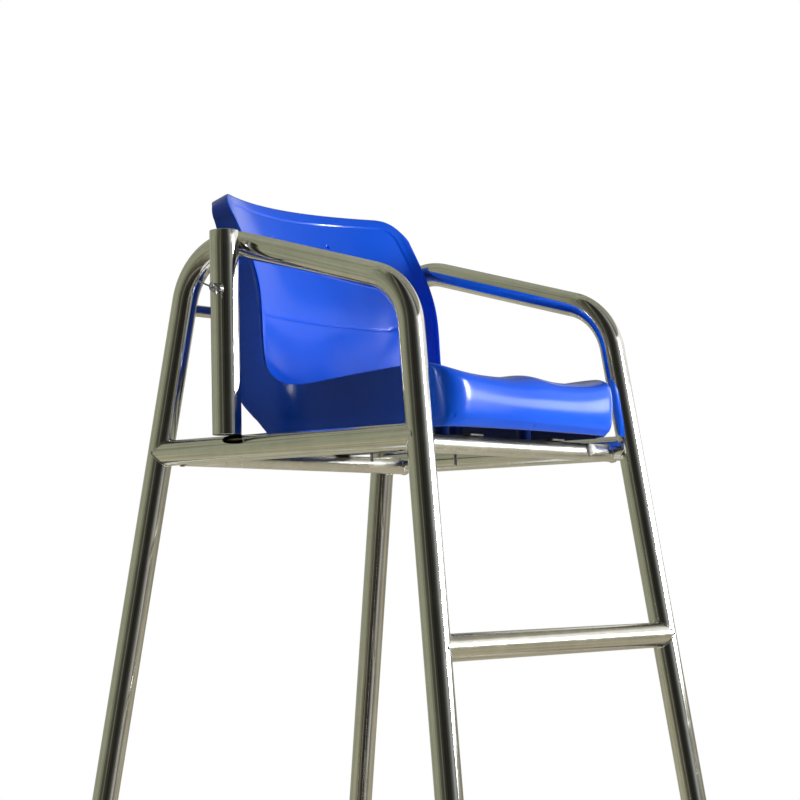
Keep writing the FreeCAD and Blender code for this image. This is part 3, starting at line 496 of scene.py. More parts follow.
for number in range(1, 6):
    tie(f"rung_{number}", "front", TUBE_R, RUNG_PITCH * number)
tie("rear_brace", "rear", BRACE_R, RAIL_HEIGHT - BRACE_HEIGHT - RUNG_PITCH)
tie("back_rail", "rear", BACK_RAIL_R, -BACK_RAIL_RISE)

for side, sign in SIDES.items():
    legs = (leg_line(side, "front"), leg_line(side, "rear"))
    for name, node, radius, height in (("side_rail", "seat_side_rail", TUBE_R, RAIL_HEIGHT),
                                       ("low_brace", "side_brace", BRACE_R, BRACE_HEIGHT)):
        middle = Vector((sign * (FRAME_HALF_WIDTH + (RAIL_HEIGHT - height) * SIDE_TAN), CENTRE_Y, height))
        notched_tube(f"{name}_{side}", middle, Vector((0, 1, 0)), radius, legs, TUBE_STEEL, (f"{node}_{side}",))

side_bars = [(Vector((sign * FRAME_HALF_WIDTH, 0, RAIL_HEIGHT)), Vector((0, 1, 0)), TUBE_R) for sign in (-1, 1)]
FRONT_RAIL_Y = CENTRE_Y - FRAME_HALF_DEPTH + FRONT_INSET
REAR_RAIL_Y = CENTRE_Y + FRAME_HALF_DEPTH - REAR_INSET
CROSS_Z = RAIL_HEIGHT - CROSS_DROP
for name, rail_y in (("seat_front_rail", FRONT_RAIL_Y), ("seat_rear_rail", REAR_RAIL_Y)):
    notched_tube(f"{name}_tube", Vector((0, rail_y, CROSS_Z)), Vector((1, 0, 0)), CROSS_R, side_bars, SATIN_STEEL,
                 (name,))


# ---- Weld beads ----------------------------------------------------------------
# A small bead of weld metal runs round every tube end, laid in overlapping ripples
# and polished with the rest of the stand.
BEAD_R, RIPPLE = 0.0013, 0.0020


def growth_tree(name, *inputs):
    """A node group with named inputs, given as label, kind and first value. It ends by
    dressing real geometry in its metal. Returned with its input and that last step."""
    tree = bpy.data.node_groups.new(name, "GeometryNodeTree")
    sides = tree.interface
    sides.new_socket("Geometry", in_out="INPUT", socket_type="NodeSocketGeometry")
    for label, kind, *number in inputs + (("Metal", "Material"),):
        socket = sides.new_socket(label, in_out="INPUT", socket_type=f"NodeSocket{kind}")
        if number:
            socket.default_value = number[0]
    sides.new_socket("Geometry", in_out="OUTPUT", socket_type="NodeSocketGeometry")
    start, end = add_node(tree, "NodeGroupInput"), add_node(tree, "NodeGroupOutput")
    real, dress = add_node(tree, "GeometryNodeRealizeInstances"), add_node(tree, "GeometryNodeSetMaterial")
    wire(tree, (real, dress, "Geometry"), (start, dress, "Material", "Metal"), (dress, end, "Geometry"))
    return tree, start, real


def bead_tree():
    """Curve to rippled bead: a round section whose size rises and falls along the seam."""
    tree, start, real = growth_tree("weld_bead", ("Bead Radius", "Float", BEAD_R),
                                    ("Ripple Pitch", "Float", RIPPLE), ("Ripple Depth", "Float", 0.08))
    even = add_node(tree, "GeometryNodeResampleCurve", mode="LENGTH", _Length=0.0008)
    where = add_node(tree, "GeometryNodeSplineParameter")
    phase = add_node(tree, "Math", operation="DIVIDE")
    turn = add_node(tree, "Math", operation="MULTIPLY", _1=2 * math.pi)
    wave = add_node(tree, "Math", operation="SINE")
    swell = add_node(tree, "Math", operation="MULTIPLY_ADD", _2=1.0)
    size = add_node(tree, "GeometryNodeSetCurveRadius")
    section = add_node(tree, "GeometryNodeCurvePrimitiveCircle", _Resolution=8)
    sweep = add_node(tree, "GeometryNodeCurveToMesh")
    smooth = add_node(tree, "GeometryNodeSetShadeSmooth")
    wire(tree, (start, even, "Curve", "Geometry"), (even, size, "Curve"), (where, phase, 0, "Length"),
         (start, phase, 1, "Ripple Pitch"), (phase, turn, 0), (turn, wave, 0), (wave, swell, 0),
         (start, swell, 1, "Ripple Depth"), (swell, size, "Radius"), (size, sweep, "Curve"),
         (start, section, "Radius", "Bead Radius"), (section, sweep, "Profile Curve"))
    radius = add_node(tree, "GeometryNodeInputRadius")
    wire(tree, (radius, sweep, "Scale"), (sweep, smooth, "Geometry"), (smooth, real, "Geometry"))
    return tree


def kept_mesh(carrier, name):
    """The mesh that a carrier object shows; the carrier itself goes."""
    bpy.context.view_layer.update()
    mesh = bpy.data.meshes.new_from_object(carrier.evaluated_get(bpy.context.evaluated_depsgraph_get()))
    mesh.name = name
    bpy.data.objects.remove(carrier)
    return mesh


def grown_mesh(carrier, tree, name, **inputs):
    """Run a node tree on a carrier object and keep its result as a plain mesh."""
    growth = carrier.modifiers.new("growth", "NODES")
    growth.node_group = tree
    sockets = {item.name: item.identifier for item in tree.interface.items_tree if item.in_out == "INPUT"}
    for label, number in inputs.items():
        growth[sockets[label.replace("_", " ")]] = number
    return kept_mesh(carrier, name)


def closed_line(curve, points):
    """Add a closed line through points to a curve."""
    spline = curve.splines.new("POLY")
    spline.points.add(len(points) - 1)
    spline.points.foreach_set("co", [value for point in points for value in (*point, 1.0)])
    spline.use_cyclic_u = True


seam_curve = bpy.data.curves.new("weld_seams", "CURVE")
seam_curve.dimensions = "3D"
for seam in weld_seams:
    closed_line(seam_curve, seam)
bead_mesh = grown_mesh(placed("weld_seams", seam_curve), bead_tree(), "weld_beads", Metal=PLATE_STEEL)
put_in_scene("weld_beads", bead_mesh, PLATE_STEEL)


# ---- Moulded seat --------------------------------------------------------------
# A moulded blue plastic bucket: dished pan, rolled front lip with a ridge between
# the thighs, curved back with a raised border, and side walls that turn down from
# the rim. Four moulded posts under the pan hold the studs that fix it.
SEAT_HALF, SEAT_WALL, CORNER_R, ROLL, RIM_INSET = 0.244, 0.0036, 0.045, 0.0045, 0.0028
FLANGE_DEPTH, FLANGE_TAPER, FLANGE_DROOP = 0.034, 0.12, 0.010
# The last two bound the underside that is painted in shade: how high above the seat's base and how far behind its
# front.
BACK_FROM, SHOULDER_FROM, UNDER_SHADE_HIGH, UNDER_SHADE_DEEP = 0.6, 0.75, 0.11, 0.36
CORNER_LATE, CORNER_WIDE, CORNER_POWER, SHARP_POWER, RIDGE_WIDE = 48, 45, 2.3, 44, 40.0
STRAP_THICK, SEAT_LIFT = 0.004, 0.003
SEAT_Y, SEAT_Z = FRONT_RAIL_Y, CROSS_Z + CROSS_R + STRAP_THICK + SEAT_LIFT
# Stations of the sitting face from the lip to the crest, in millimetres: y and z in the
# middle, y and z at the edge, the power of the bend between them, the height of the
# ridge, and how far back the corner lies.
SEAT_STATIONS = (
    (-52, 2, -38, 2, 2, 0, 34), (-66, 11, -51, 11, 2, 0, 38), (-72, 31, -56, 31, 2, 0, 40),
    (-71, 60, -57, 62, 2, 1, 40), (-60, 80, -56, 91, 3, 5, 36), (-34, 89, -40, 102, 5, 8, 22),
    (-5, 90, -15, 106, 5, 9, 4), (55, 85, 45, 104, 5, 6, 0), (150, 70, 150, 98, 4, 2, 0),
    (250, 58, 240, 89, 4, 0, 0), (325, 61, 287, 91, 3, 0, 0), (376, 92, 332, 112, 2.5, 0, -12),
    (392, 146, 352, 150, 2.5, 0, -24), (403, 221, 361, 226, 3, 0, -32), (421, 286, 373, 291, 3, 0, -34),
    (454, 361, 386, 363, 2, 0, -8), (490, 433, 421, 433, 2, 0, 0))
EDGE_STEPS = np.array((0, 0.12, 0.25, 0.38, 0.5, 0.62, 0.72, 0.79, 0.84, 0.885, 0.925, 0.955, 0.98, 1.0))


def seat_poles():
    """Grid of control points of the sitting face, in metres from the seat's own origin."""
    share = np.concatenate((-EDGE_STEPS[:0:-1], EDGE_STEPS))
    across = share * (SEAT_HALF * 1000 - 2.8)
    poles = np.zeros((len(SEAT_STATIONS), len(share), 3))
    for row, (mid_y, mid_z, edge_y, edge_z, power, ridge, corner) in zip(poles, SEAT_STATIONS):
        bend = np.abs(share) ** power
        row[:, 0] = across
        late = np.clip((np.abs(across) - (SEAT_HALF * 1000 - CORNER_LATE)) / CORNER_WIDE, 0, 1)
        rounding = 1 - (1 - late ** CORNER_POWER) ** (1 / CORNER_POWER)
        pull = rounding if mid_y < 0 else np.abs(share) ** SHARP_POWER
        row[:, 1] = mid_y + (edge_y - mid_y) * bend + corner * pull
        row[:, 2] = mid_z + (edge_z - mid_z) * bend + ridge * np.exp(-(across / RIDGE_WIDE) ** 2)
    return poles / 1000


def spline_weights(count, places):
    """Cubic weights of each control point at places from 0 to 1 along a row of them."""
    knots = np.concatenate(([0] * 3, np.arange(count - 2), [count - 3] * 3)).astype(float)
    at = np.clip(np.asarray(places) * (count - 3), 0, count - 3 - 1e-9)
    weights = ((knots[:-1] <= at[:, None]) & (at[:, None] < knots[1:])).astype(float)
    for degree in (1, 2, 3):
        grown = np.zeros((len(at), weights.shape[1] - 1))
        for k in range(grown.shape[1]):
            left, right = knots[k + degree] - knots[k], knots[k + degree + 1] - knots[k + 1]
            if left > 0:
                grown[:, k] += (at - knots[k]) / left * weights[:, k]
            if right > 0:
                grown[:, k] += (knots[k + degree + 1] - at) / right * weights[:, k + 1]
        weights = grown
    return weights


POLES = seat_poles()


def face_at(along, across):
    """Points of the sitting face at matching arrays of places along and across it."""
    rows = spline_weights(POLES.shape[0], along.ravel())
    columns = spline_weights(POLES.shape[1], across.ravel())
    return np.einsum("ni,nj,ijk->nk", rows, columns, POLES).reshape(along.shape + (3,))


def soft_step(value, low, high):
    """0 below low, 1 above high, smooth between."""
    t = np.clip((value - low) / (high - low), 0, 1)
    return t * t * (3 - 2 * t)


def travelled(line):
    """Distance from the start of a line to each of its points."""
    return np.concatenate(([0], np.cumsum(np.linalg.norm(np.diff(line, axis=0), axis=1))))


# Grid lines lie closer together at the front lip, the creases and the rim. Places along
# the face run from 0 at the lip to 1 at the crest. The back lies past BACK_FROM and its
# rounded shoulders past SHOULDER_FROM.
dense = np.linspace(0, 1, 4001)
edge_line, mid_line = face_at(dense, np.zeros_like(dense)), face_at(dense, np.full_like(dense, 0.5))
span = face_at(np.full_like(dense, 0.5), dense)[:, 0]
crest, half = POLES[-1, 0, 2], SEAT_HALF - RIM_INSET
run = travelled(mid_line)
pitch = np.where(dense < 0.40, 0.0040, 0.0060)
climb = mid_line[:, 2]
pitch[(dense < 0.1) & (climb < 0.018)] = 0.0016
for low, high, step in ((0.207, 0.231, 0.0012), (0.364, 0.377, 0.0013), (0.384, 0.5, 0.0015)):
    pitch[(dense > BACK_FROM) & (climb > low) & (climb < high)] = step
effort = np.concatenate(([0], np.cumsum(np.diff(run) * (1 / pitch[1:] + 1 / pitch[:-1]) / 2)))
along = np.interp(np.linspace(0, effort[-1], int(effort[-1])), effort, dense)
x_half = np.concatenate((np.linspace(0, half - 0.048, 30), np.arange(half - 0.0462, half - ROLL - 0.0006, 0.0016),
                         0.074 + np.array((-5, -3.5, -2.6, -1.6, -0.6, 0.4, 1.4, 2.4, 3.4, 5)) / 1000,
                         0.024 + np.array((-3, -1.8, -0.6, 0.6, 1.8, 3)) / 1000, [half - ROLL, half]))
x_half = np.unique(np.round(x_half, 5))
x_half = x_half[np.concatenate(([True], np.diff(x_half) > 0.0006))]
x_half[-1] = half
x_lines = np.concatenate((-x_half[:0:-1], x_half))

# The top corners are rounded: a square of grid lines is pressed into a quarter disc.
grid_u, grid_x = np.meshgrid(along, x_lines, indexing="ij")
height = np.interp(grid_u, dense, edge_line[:, 2])
push_x = np.clip((np.abs(grid_x) - (half - CORNER_R)) / CORNER_R, 0, 1)
push_z = np.where(grid_u > SHOULDER_FROM, np.clip((height - (crest - CORNER_R)) / CORNER_R, 0, 1), 0)
in_corner = (push_x > 0) & (push_z > 0)
round_x, round_z = push_x * np.sqrt(1 - push_z ** 2 / 2), push_z * np.sqrt(1 - push_x ** 2 / 2)
warp_x = np.where(in_corner, np.sign(grid_x) * (half - CORNER_R + round_x * CORNER_R), grid_x)
shoulder = dense > SHOULDER_FROM
warp_u = np.where(in_corner, np.interp(crest - CORNER_R + round_z * CORNER_R, edge_line[shoulder, 2],
                                       dense[shoulder]), grid_u)
face = face_at(warp_u, np.interp(warp_x, span, dense))

# Relief: a raised border round the back with a crease inside it, a step across the
# back that hooks up at both ends, the tucked lower edge of the lip, two small deep
# pits near the top of the back and two shallow moulding marks at the lip.
tangent_u, tangent_v = np.gradient(face, axis=0), np.gradient(face, axis=1)
normal = np.cross(tangent_v, tangent_u)
normal /= np.linalg.norm(normal, axis=2, keepdims=True) + 1e-12
side_x, rise = np.abs(face[..., 0]), face[..., 2]
border_side = np.interp(rise, (0.15, 0.268, 0.326, 0.369, 0.388), (0.0045, 0.0056, 0.010, 0.016, 0.019))
border_top = np.interp(side_x, (0.026, 0.121, 0.196), (0.022, 0.0195, 0.019))
from_side, from_top = half - side_x, crest - rise
radial = CORNER_R * (1 - np.sqrt(round_x ** 2 + round_z ** 2))
past_line = np.where(in_corner, radial - 0.019,
                     np.where(push_z > 0, from_top - border_top, from_side - border_side))
past_line = np.where((push_x <= 0) & (grid_u > BACK_FROM), from_top - border_top, past_line)
near_crest = soft_step(rise, crest - 0.0045, crest - 0.0005)
on_back = soft_step(rise, 0.19, 0.27) * (grid_u > BACK_FROM) * (1 - near_crest)
relief = on_back * (0.0013 * (1 - soft_step(past_line, -0.0014, 0.0012))
                    - 0.0009 * np.exp(-(past_line / 0.0017) ** 2))
hook = np.clip((side_x - 0.162) / 0.029, 0, 1) ** 1.6 * 0.0115
step_line = 0.2165 + hook + np.clip(face[..., 0], -0.12, 0) * -0.02
step_reach = (1 - soft_step(side_x, 0.184, 0.193)) * (grid_u > BACK_FROM)
relief += step_reach * (0.0017 * (1 - soft_step(rise, step_line - 0.0020, step_line + 0.0010))
                        * soft_step(rise, 0.115, 0.205)
                        - 0.0020 * np.exp(-((rise - step_line - 0.0014) / 0.0014) ** 2))
lip_line = 0.0125 - 0.0145 * face[..., 0]
relief -= (grid_u < 0.12) * 0.0012 * (1 - soft_step(rise, lip_line - 0.0018, lip_line + 0.0018))
for mark_x, mark_z, spot, deep in ((0.074, 0.3705, 0.0028, 0.006), (-0.074, 0.3705, 0.0028, 0.006),
                                   (-0.024, 0.0085, 0.0022, 0.0016), (-0.2247, 0.0184, 0.0022, 0.0014)):
    away = np.hypot(face[..., 0] - mark_x, rise - mark_z)
    here = (grid_u > BACK_FROM) if mark_z > 0.1 else (grid_u < 0.2)
    relief -= here * deep * np.exp(-(away / spot) ** 4)
face = face + normal * relief[..., None]

# Walls. Every rim point has its own line down a side wall to the hem, or back over
# the crown. Pairs of places say which hem point a rim point runs to.
HEM_CORNERS = ((-0.003, 0.002), (0.314, 0.002), (0.385, 0.068), (0.431, 0.362), (0.457, 0.431))
hem = [Vector((0, y, z)) for y, z in HEM_CORNERS]
hem = np.array([tuple(p) for p in [hem[0]] + round_corner(hem[0], hem[1], hem[2], 0.012, 6)
                + round_corner(hem[1], hem[2], hem[3], 0.040, 12) + round_corner(hem[2], hem[3], hem[4], 0.120, 8)
                + [hem[4]]])
hem_run = travelled(hem)
rim = np.stack((0 * dense, edge_line[:, 1], edge_line[:, 2]), axis=1)
rim_run = travelled(rim)
RIM_TO_HEM = (((-4, 2), (-3, 2)), ((-24, 98), (16, 2)), ((60, 104), (70, 2)), ((150, 99), (156, 2)),
              ((250, 90), (268, 2)), ((302, 98), (330, 17)), ((322, 120), (372, 56)), ((329, 160), (388, 105)),
              ((340, 226), (397, 190)), ((355, 291), (415, 286)), ((385, 363), (431, 361)),
              ((421, 433), (457, 431)))


def nearest(line, runs, place):
    """How far along a line its nearest point to a place, in millimetres, lies."""
    y, z = place
    return runs[np.argmin(np.hypot(line[:, 1] - y / 1000, line[:, 2] - z / 1000))]


fine_run = np.linspace(0, hem_run[-1], 2000)
fine_hem = np.stack([np.interp(fine_run, hem_run, hem[:, axis]) for axis in range(3)], axis=1)
pair_rim = np.array([nearest(rim, rim_run, a) for a, b in RIM_TO_HEM])
pair_hem = np.array([nearest(fine_hem, fine_run, b) for a, b in RIM_TO_HEM])
rows, columns = face.shape[:2]
border = ([(i, 0) for i in range(rows)] + [(rows - 1, j) for j in range(1, columns - 1)]
          + [(i, columns - 1) for i in reversed(range(rows))])
DOWN = np.concatenate((np.linspace(0, 0.86, 15)[1:], np.linspace(0.90, 1.0, 6)))
bands = []
for i, j in border:
    start = face[min(i, rows - 2), min(max(j, 1), columns - 2)]
    edge = face[i, j].copy()
    at_side = j in (0, columns - 1) and not in_corner[i, j]
    lean = float(at_side)
    if in_corner[i, j]:
        lean = round_x[i, j] / max(math.hypot(round_x[i, j], round_z[i, j]), 1e-6)
    edge[0] += math.copysign(RIM_INSET * lean, edge[0])
    place = np.interp(np.interp(warp_u[i, j], dense, rim_run), pair_rim, pair_hem)
    goal = np.array([edge[0]] + [np.interp(place, fine_run, fine_hem[:, axis]) for axis in (1, 2)])
    if not at_side:
        level = edge + np.array((0, FLANGE_DEPTH + FLANGE_TAPER * (crest - edge[2]), -FLANGE_DROOP))
        goal = level + (goal - level) * (soft_step(np.array(lean), 0.6, 1.0) if in_corner[i, j] else 0.0)
    reach = np.linalg.norm(goal - edge)
    turn = edge + (goal - edge) * min(ROLL / reach, 0.5)
    arc = [(1 - t) ** 2 * start + 2 * t * (1 - t) * edge + t * t * turn for t in (0.2, 0.4, 0.6, 0.8, 1.0)]
    bands.append(arc + [turn + (goal - turn) * t for t in DOWN])
bands = np.array(bands)

# The lower part of each side wall flares out to its hem, and a narrow band follows
# the cut behind the heel.
wall_part = np.array([j in (0, columns - 1) and not in_corner[i, j] for i, j in border])[:, None]
to_hem = np.linalg.norm(bands[:, -1:, :] - bands, axis=2)
skirt = (1 - soft_step(bands[..., 2], 0.035, 0.0385)) * (bands[..., 1] < 0.36)
outward = -0.0016 + skirt * (0.0042 * (1 - np.clip(bands[..., 2] / 0.036, 0, 1)) - 0.0006)
hem_band = -0.0016 + 0.0012 * (1 - soft_step(to_hem, 0.008, 0.0105))
outward = np.where(skirt < 0.3, np.maximum(outward, hem_band), outward)
fade = np.zeros(bands.shape[1])
fade[4:] = 1
fade[:4] = (0, 0.1, 0.4, 0.8)
bands[..., 0] += np.sign(bands[..., 0]) * np.where(wall_part, outward * fade, 0)

vertices = face.reshape(-1, 3).copy()
ring_cells = [i * columns + j for i, j in border]
vertices[ring_cells] = bands[:, 0]
first, depth = len(vertices), bands.shape[1] - 1
vertices = np.concatenate((vertices, bands[:, 1:].reshape(-1, 3))) + np.array((0, SEAT_Y, SEAT_Z))
faces = [(i * columns + j, i * columns + j + 1, (i + 1) * columns + j + 1, (i + 1) * columns + j)
         for i in range(rows - 1) for j in range(columns - 1)]
for k in range(len(ring_cells) - 1):
    lines = [[ring_cells[n]] + list(range(first + n * depth, first + (n + 1) * depth)) for n in (k, k + 1)]
    faces += [(a, b, c, d) for a, b, c, d in zip(lines[0], lines[0][1:], lines[1][1:], lines[1])]
seat_mesh = plain_mesh("moulded_seat", [tuple(p) for p in vertices], faces)
seat_form = bmesh.new()
seat_form.from_mesh(seat_mesh)
bmesh.ops.remove_doubles(seat_form, verts=seat_form.verts, dist=0.00004)
bmesh.ops.recalc_face_normals(seat_form, faces=seat_form.faces)
pan_middle = Vector((0, SEAT_Y + 0.2, SEAT_Z + 0.06))
if min(seat_form.faces, key=lambda f: (f.calc_center_median() - pan_middle).length).normal.z < 0:
    bmesh.ops.reverse_faces(seat_form, faces=seat_form.faces)
seat_form.to_mesh(seat_mesh)
seat_form.free()
seat_mesh.polygons.foreach_set("use_smooth", [True] * len(seat_mesh.polygons))


def clouded(name, tone, rough, bump, dust_top=None, **shader):
    """A surface whose colour, roughness and fine relief each follow a noise. Each of the
    three opens with its noise as scale, detail and roughness. Then come the stops and
    colours of the tone, the range in and out of the roughness, and the strength and
    depth of the relief. The paler tone is dust below dust_top when that is given."""
    material, tree = shader_tree(name)
    place = add_node(tree, "TexCoord")
    clouds, patches, grain = (add_node(tree, "TexNoise", _Scale=scale, _Detail=detail, _Roughness=fine)
                              for scale, detail, fine in (tone[0], rough[0], bump[0]))
    for noise in (clouds, patches, grain):
        wire(tree, (place, noise, "Vector", "Object"))
    if dust_top:
        parts = add_node(tree, "SeparateXYZ")
        low = add_node(tree, "MapRange", _From_Min=dust_top, _From_Max=0.0)
        dust = add_node(tree, "Math", operation="MULTIPLY")
        wire(tree, (place, parts, 0, "Object"), (parts, low, "Value", "Z"), (low, dust, 0), (clouds, dust, 1))
        clouds = dust
    colour = two_tone(tree, *tone[1:])
    spread = add_node(tree, "MapRange", _From_Min=rough[1], _From_Max=rough[2], _To_Min=rough[3],
                      _To_Max=rough[4])
    relief = add_node(tree, "Bump", _Strength=bump[1], _Distance=bump[2])
    skin = add_node(tree, "BsdfPrincipled", **shader)
    wire(tree, (clouds, colour, 0), (patches, spread, "Value"), (grain, relief, "Height"),
         (colour, skin, "Base Color"), (spread, skin, "Roughness"), (relief, skin, "Normal"))
    surface(tree, skin)
    return material


def moulded_blue(name, low, high, shine):
    """Through-coloured plastic: faint clouding, a very fine orange-peel skin and duller
    rubbed patches. The shine is the roughness of the best polished patches."""
    return clouded(name, ((5, 3, 0.5), 0.3, low, 0.72, high), ((11, 6, 0.6), 0.35, 0.75, shine, shine + 0.09),
                   ((420, 2, 0.5), 0.035, 0.0004), _IOR=1.45, _Specular_IOR_Level=0.35, _Coat_Weight=0.12,
                   _Coat_Roughness=0.08)


SEAT_PLASTIC = moulded_blue("moulded_blue_plastic", (0.004, 0.105, 0.86), (0.009, 0.135, 0.98), 0.17)
# Painted shade: a much darker copy of the seat's blue, for the underside below the pan and the bosses under it;
# its shine is duller too.
SHADED_UNDER_PLASTIC = moulded_blue("moulded_blue_painted_shade_underside", (0.003, 0.028, 0.20), (0.004, 0.038, 0.26), 0.42)
seat = put_in_scene("moulded_seat", seat_mesh, SEAT_PLASTIC, nodes=("seat_shell",), slot="blue_plastic")

# The wall grows inward from the outer face. Its inner side takes the slot after the outer face's own:
# below the pan the darker copy that paints the shade there, the bright plastic elsewhere.
wall = seat.modifiers.new("wall", "SOLIDIFY")
wall.thickness = SEAT_WALL
wall.offset = -1.0
wall.use_quality_normals = True
wall.material_offset = 1
for layer in (SHADED_UNDER_PLASTIC, SEAT_PLASTIC, SEAT_PLASTIC):
    seat.data.materials.append(layer)
# Faces low down and towards the front get the painted shade on their inner side.
seat.data.polygons.foreach_set("material_index", [
    0 if p.center.z < SEAT_Z + UNDER_SHADE_HIGH and p.center.y < SEAT_Y + UNDER_SHADE_DEEP else 2
    for p in seat.data.polygons])


# ---- Seat bosses ---------------------------------------------------------------
# Four ribbed posts moulded under the pan, one over each stud. They stand on the two
# steel straps and carry the load of the pan. Same blue plastic as the seat, in the darker copy that paints the
# shade under the pan.
STUD_X, STUD_YS = 0.116, (0.060, 0.207)
BOSS_R, BOSS_RIB, BOSS_BORE, MAP_GIRTH = 0.0122, 0.0075, 0.0031, 0.135
boss_floor = CROSS_Z + CROSS_R + STRAP_THICK


def stud_spots(own_y):
    """Where the two studs of a row stand, from its distance behind the front rail."""
    return [Matrix.Translation((sign * STUD_X, SEAT_Y + own_y, boss_floor)) for sign in (-1, 1)]


def turned(name, rows, spots, around, closed=True):
    """A body of revolution: rows of height and radius about the line at each spot.
    A radius may be a function of the angle. Each spot is a matrix."""
    points, faces, uvs = [], [], []
    for spot in spots:
        base = len(points)
        for height, radius in rows:
            for a in angles(around):
                r = radius(a) if callable(radius) else radius
                points.append(tuple(spot @ Vector((r * math.cos(a), r * math.sin(a), height))))
        faces += ring_faces(len(rows), around, base)
        uvs += ring_uvs([height for height, radius in rows], around, MAP_GIRTH)
        if closed:
            for end in (0, len(rows) - 1):
                ring = [base + end * around + k for k in range(around)]
                faces.append(tuple(ring[::-1] if end == 0 else ring))
                uvs += [(0.0, 0.0)] * around
    mesh = mesh_with_uvs(name, points, faces, uvs)
    face_outward(mesh)
    soft_shaded(mesh, 38)
    return mesh


def put_turned(name, rows, spots, around, material, closed=True, **ties):
    """A body of revolution, put in the scene."""
    put_in_scene(name, turned(name, rows, spots, around, closed), material, **ties)


def boss_rows(top):
    """Height and radius rows of one boss, with four ribs that grow toward the pan."""
    def ribbed(radius, rib):
        return lambda a: radius + rib * math.exp(-(((a / math.pi * 2 + 0.5) % 1 - 0.5) / 0.055) ** 2)
    rows = [(0.001, BOSS_BORE), (0.0, BOSS_BORE + 0.001), (0.0, BOSS_R - 0.001), (0.001, BOSS_R)]
    rows += [(top * t, ribbed(BOSS_R + 0.0006 * t, BOSS_RIB * min(1, max(0, t - 0.22) * 3))) for t in
             (0.2, 0.25, 0.35, 0.45, 0.55, 0.7, 0.85, 0.95)]
    return rows + [(top, ribbed(BOSS_R + 0.003, BOSS_RIB))]


for place, own_y in (("front", STUD_YS[0]), ("rear", STUD_YS[1])):
    near = np.hypot(face[..., 0] - STUD_X, face[..., 1] - own_y) + (grid_u > BACK_FROM)
    top = SEAT_Z + face[..., 2].ravel()[np.argmin(near)] - 0.0020 - boss_floor
    put_turned(f"seat_bosses_{place}", boss_rows(top), stud_spots(own_y), 72, SHADED_UNDER_PLASTIC, slot="blue_plastic")


# ---- Seat straps and fixings ----------------------------------------------------
# Two flat steel straps lie across the front and the rear rail. Threaded studs from
# the seat pass through them and are held by a plain washer and a hexagon nut each.
STRAP_WIDE, STRAP_OVER, STRAP_HOLE, STRAP_ROUND, STRAP_EDGE = 0.040, 0.012, 0.0033, 0.005, 0.0007
STUD_R, STUD_PITCH, STUD_TOP, STUD_DROPS = 0.003, 0.001, 0.030, (0.0186, 0.0346)
WASHER_R, WASHER_THICK, WASHER_BORE, WASHER_EDGE = 0.007, 0.0016, 0.0033, 0.0003
NUT_FLATS, NUT_HIGH, NUT_BORE, NUT_MOUTH, NUT_EDGE = 0.010, 0.005, 0.0029, 0.0036, 0.0007


def zinc_plate(name, tint, rough_low, rough_high):
    """Zinc-plated steel: a soft shine with cloudy patches, dull spots and fine pits."""
    patches = (90, 5, 0.6)
    return clouded(name, (patches, 0.32, [c * 0.66 for c in tint], 0.70, tint),
                   (patches, 0.3, 0.7, rough_high, rough_low), ((900, 3, 0.6), 0.25, 0.0002), _Metallic=1.0)


ZINC = zinc_plate("zinc_plated_steel", (0.56, 0.57, 0.58), 0.30, 0.48)
# The straps are dark, dull rolled steel, darkened further as painted shade where they lie in the shadow under the
# seat.
DARK_SHADED_STRAP_STEEL = zinc_plate("rolled_strap_steel_and_painted_shade", (0.17, 0.165, 0.155), 0.38, 0.55)

for side, sign in SIDES.items():
    plan = bpy.data.curves.new(f"strap_{side}", "CURVE")
    plan.dimensions, plan.fill_mode = "2D", "BOTH"
    plan.extrude, plan.offset = STRAP_THICK / 2 - STRAP_EDGE, -STRAP_EDGE
    plan.bevel_depth, plan.bevel_resolution = STRAP_EDGE, 2
    low_y, high_y = FRONT_RAIL_Y - STRAP_OVER, REAR_RAIL_Y + STRAP_OVER
    outline = []
    for cx, cy, turn in ((1, 1, 0), (-1, 1, 90), (-1, -1, 180), (1, -1, 270)):
        middle_x = sign * STUD_X + cx * (STRAP_WIDE / 2 - STRAP_ROUND)
        middle_y = (high_y - STRAP_ROUND) if cy > 0 else (low_y + STRAP_ROUND)
        outline += [(middle_x + STRAP_ROUND * math.cos(math.radians(turn + 15 * k)),
                     middle_y + STRAP_ROUND * math.sin(math.radians(turn + 15 * k))) for k in range(7)]
    holes = [[(sign * STUD_X + STRAP_HOLE * math.cos(-math.pi * k / 16),
               SEAT_Y + y + STRAP_HOLE * math.sin(-math.pi * k / 16)) for k in range(32)] for y in STUD_YS]
    for loop in [outline] + holes:
        closed_line(plan, [(x, y, 0.0) for x, y in loop])
    strap_mesh = kept_mesh(placed(f"strap_{side}", plan), f"seat_strap_plate_{side}")
    strap_mesh.transform(Matrix.Translation((0, 0, CROSS_Z + CROSS_R + STRAP_THICK / 2)))
    face_outward(strap_mesh, 0.00001)
    strap_mesh.set_sharp_from_angle(angle=math.radians(35))
    put_in_scene(f"seat_strap_plate_{side}", strap_mesh, DARK_SHADED_STRAP_STEEL, nodes=(f"seat_strap_{side}",))


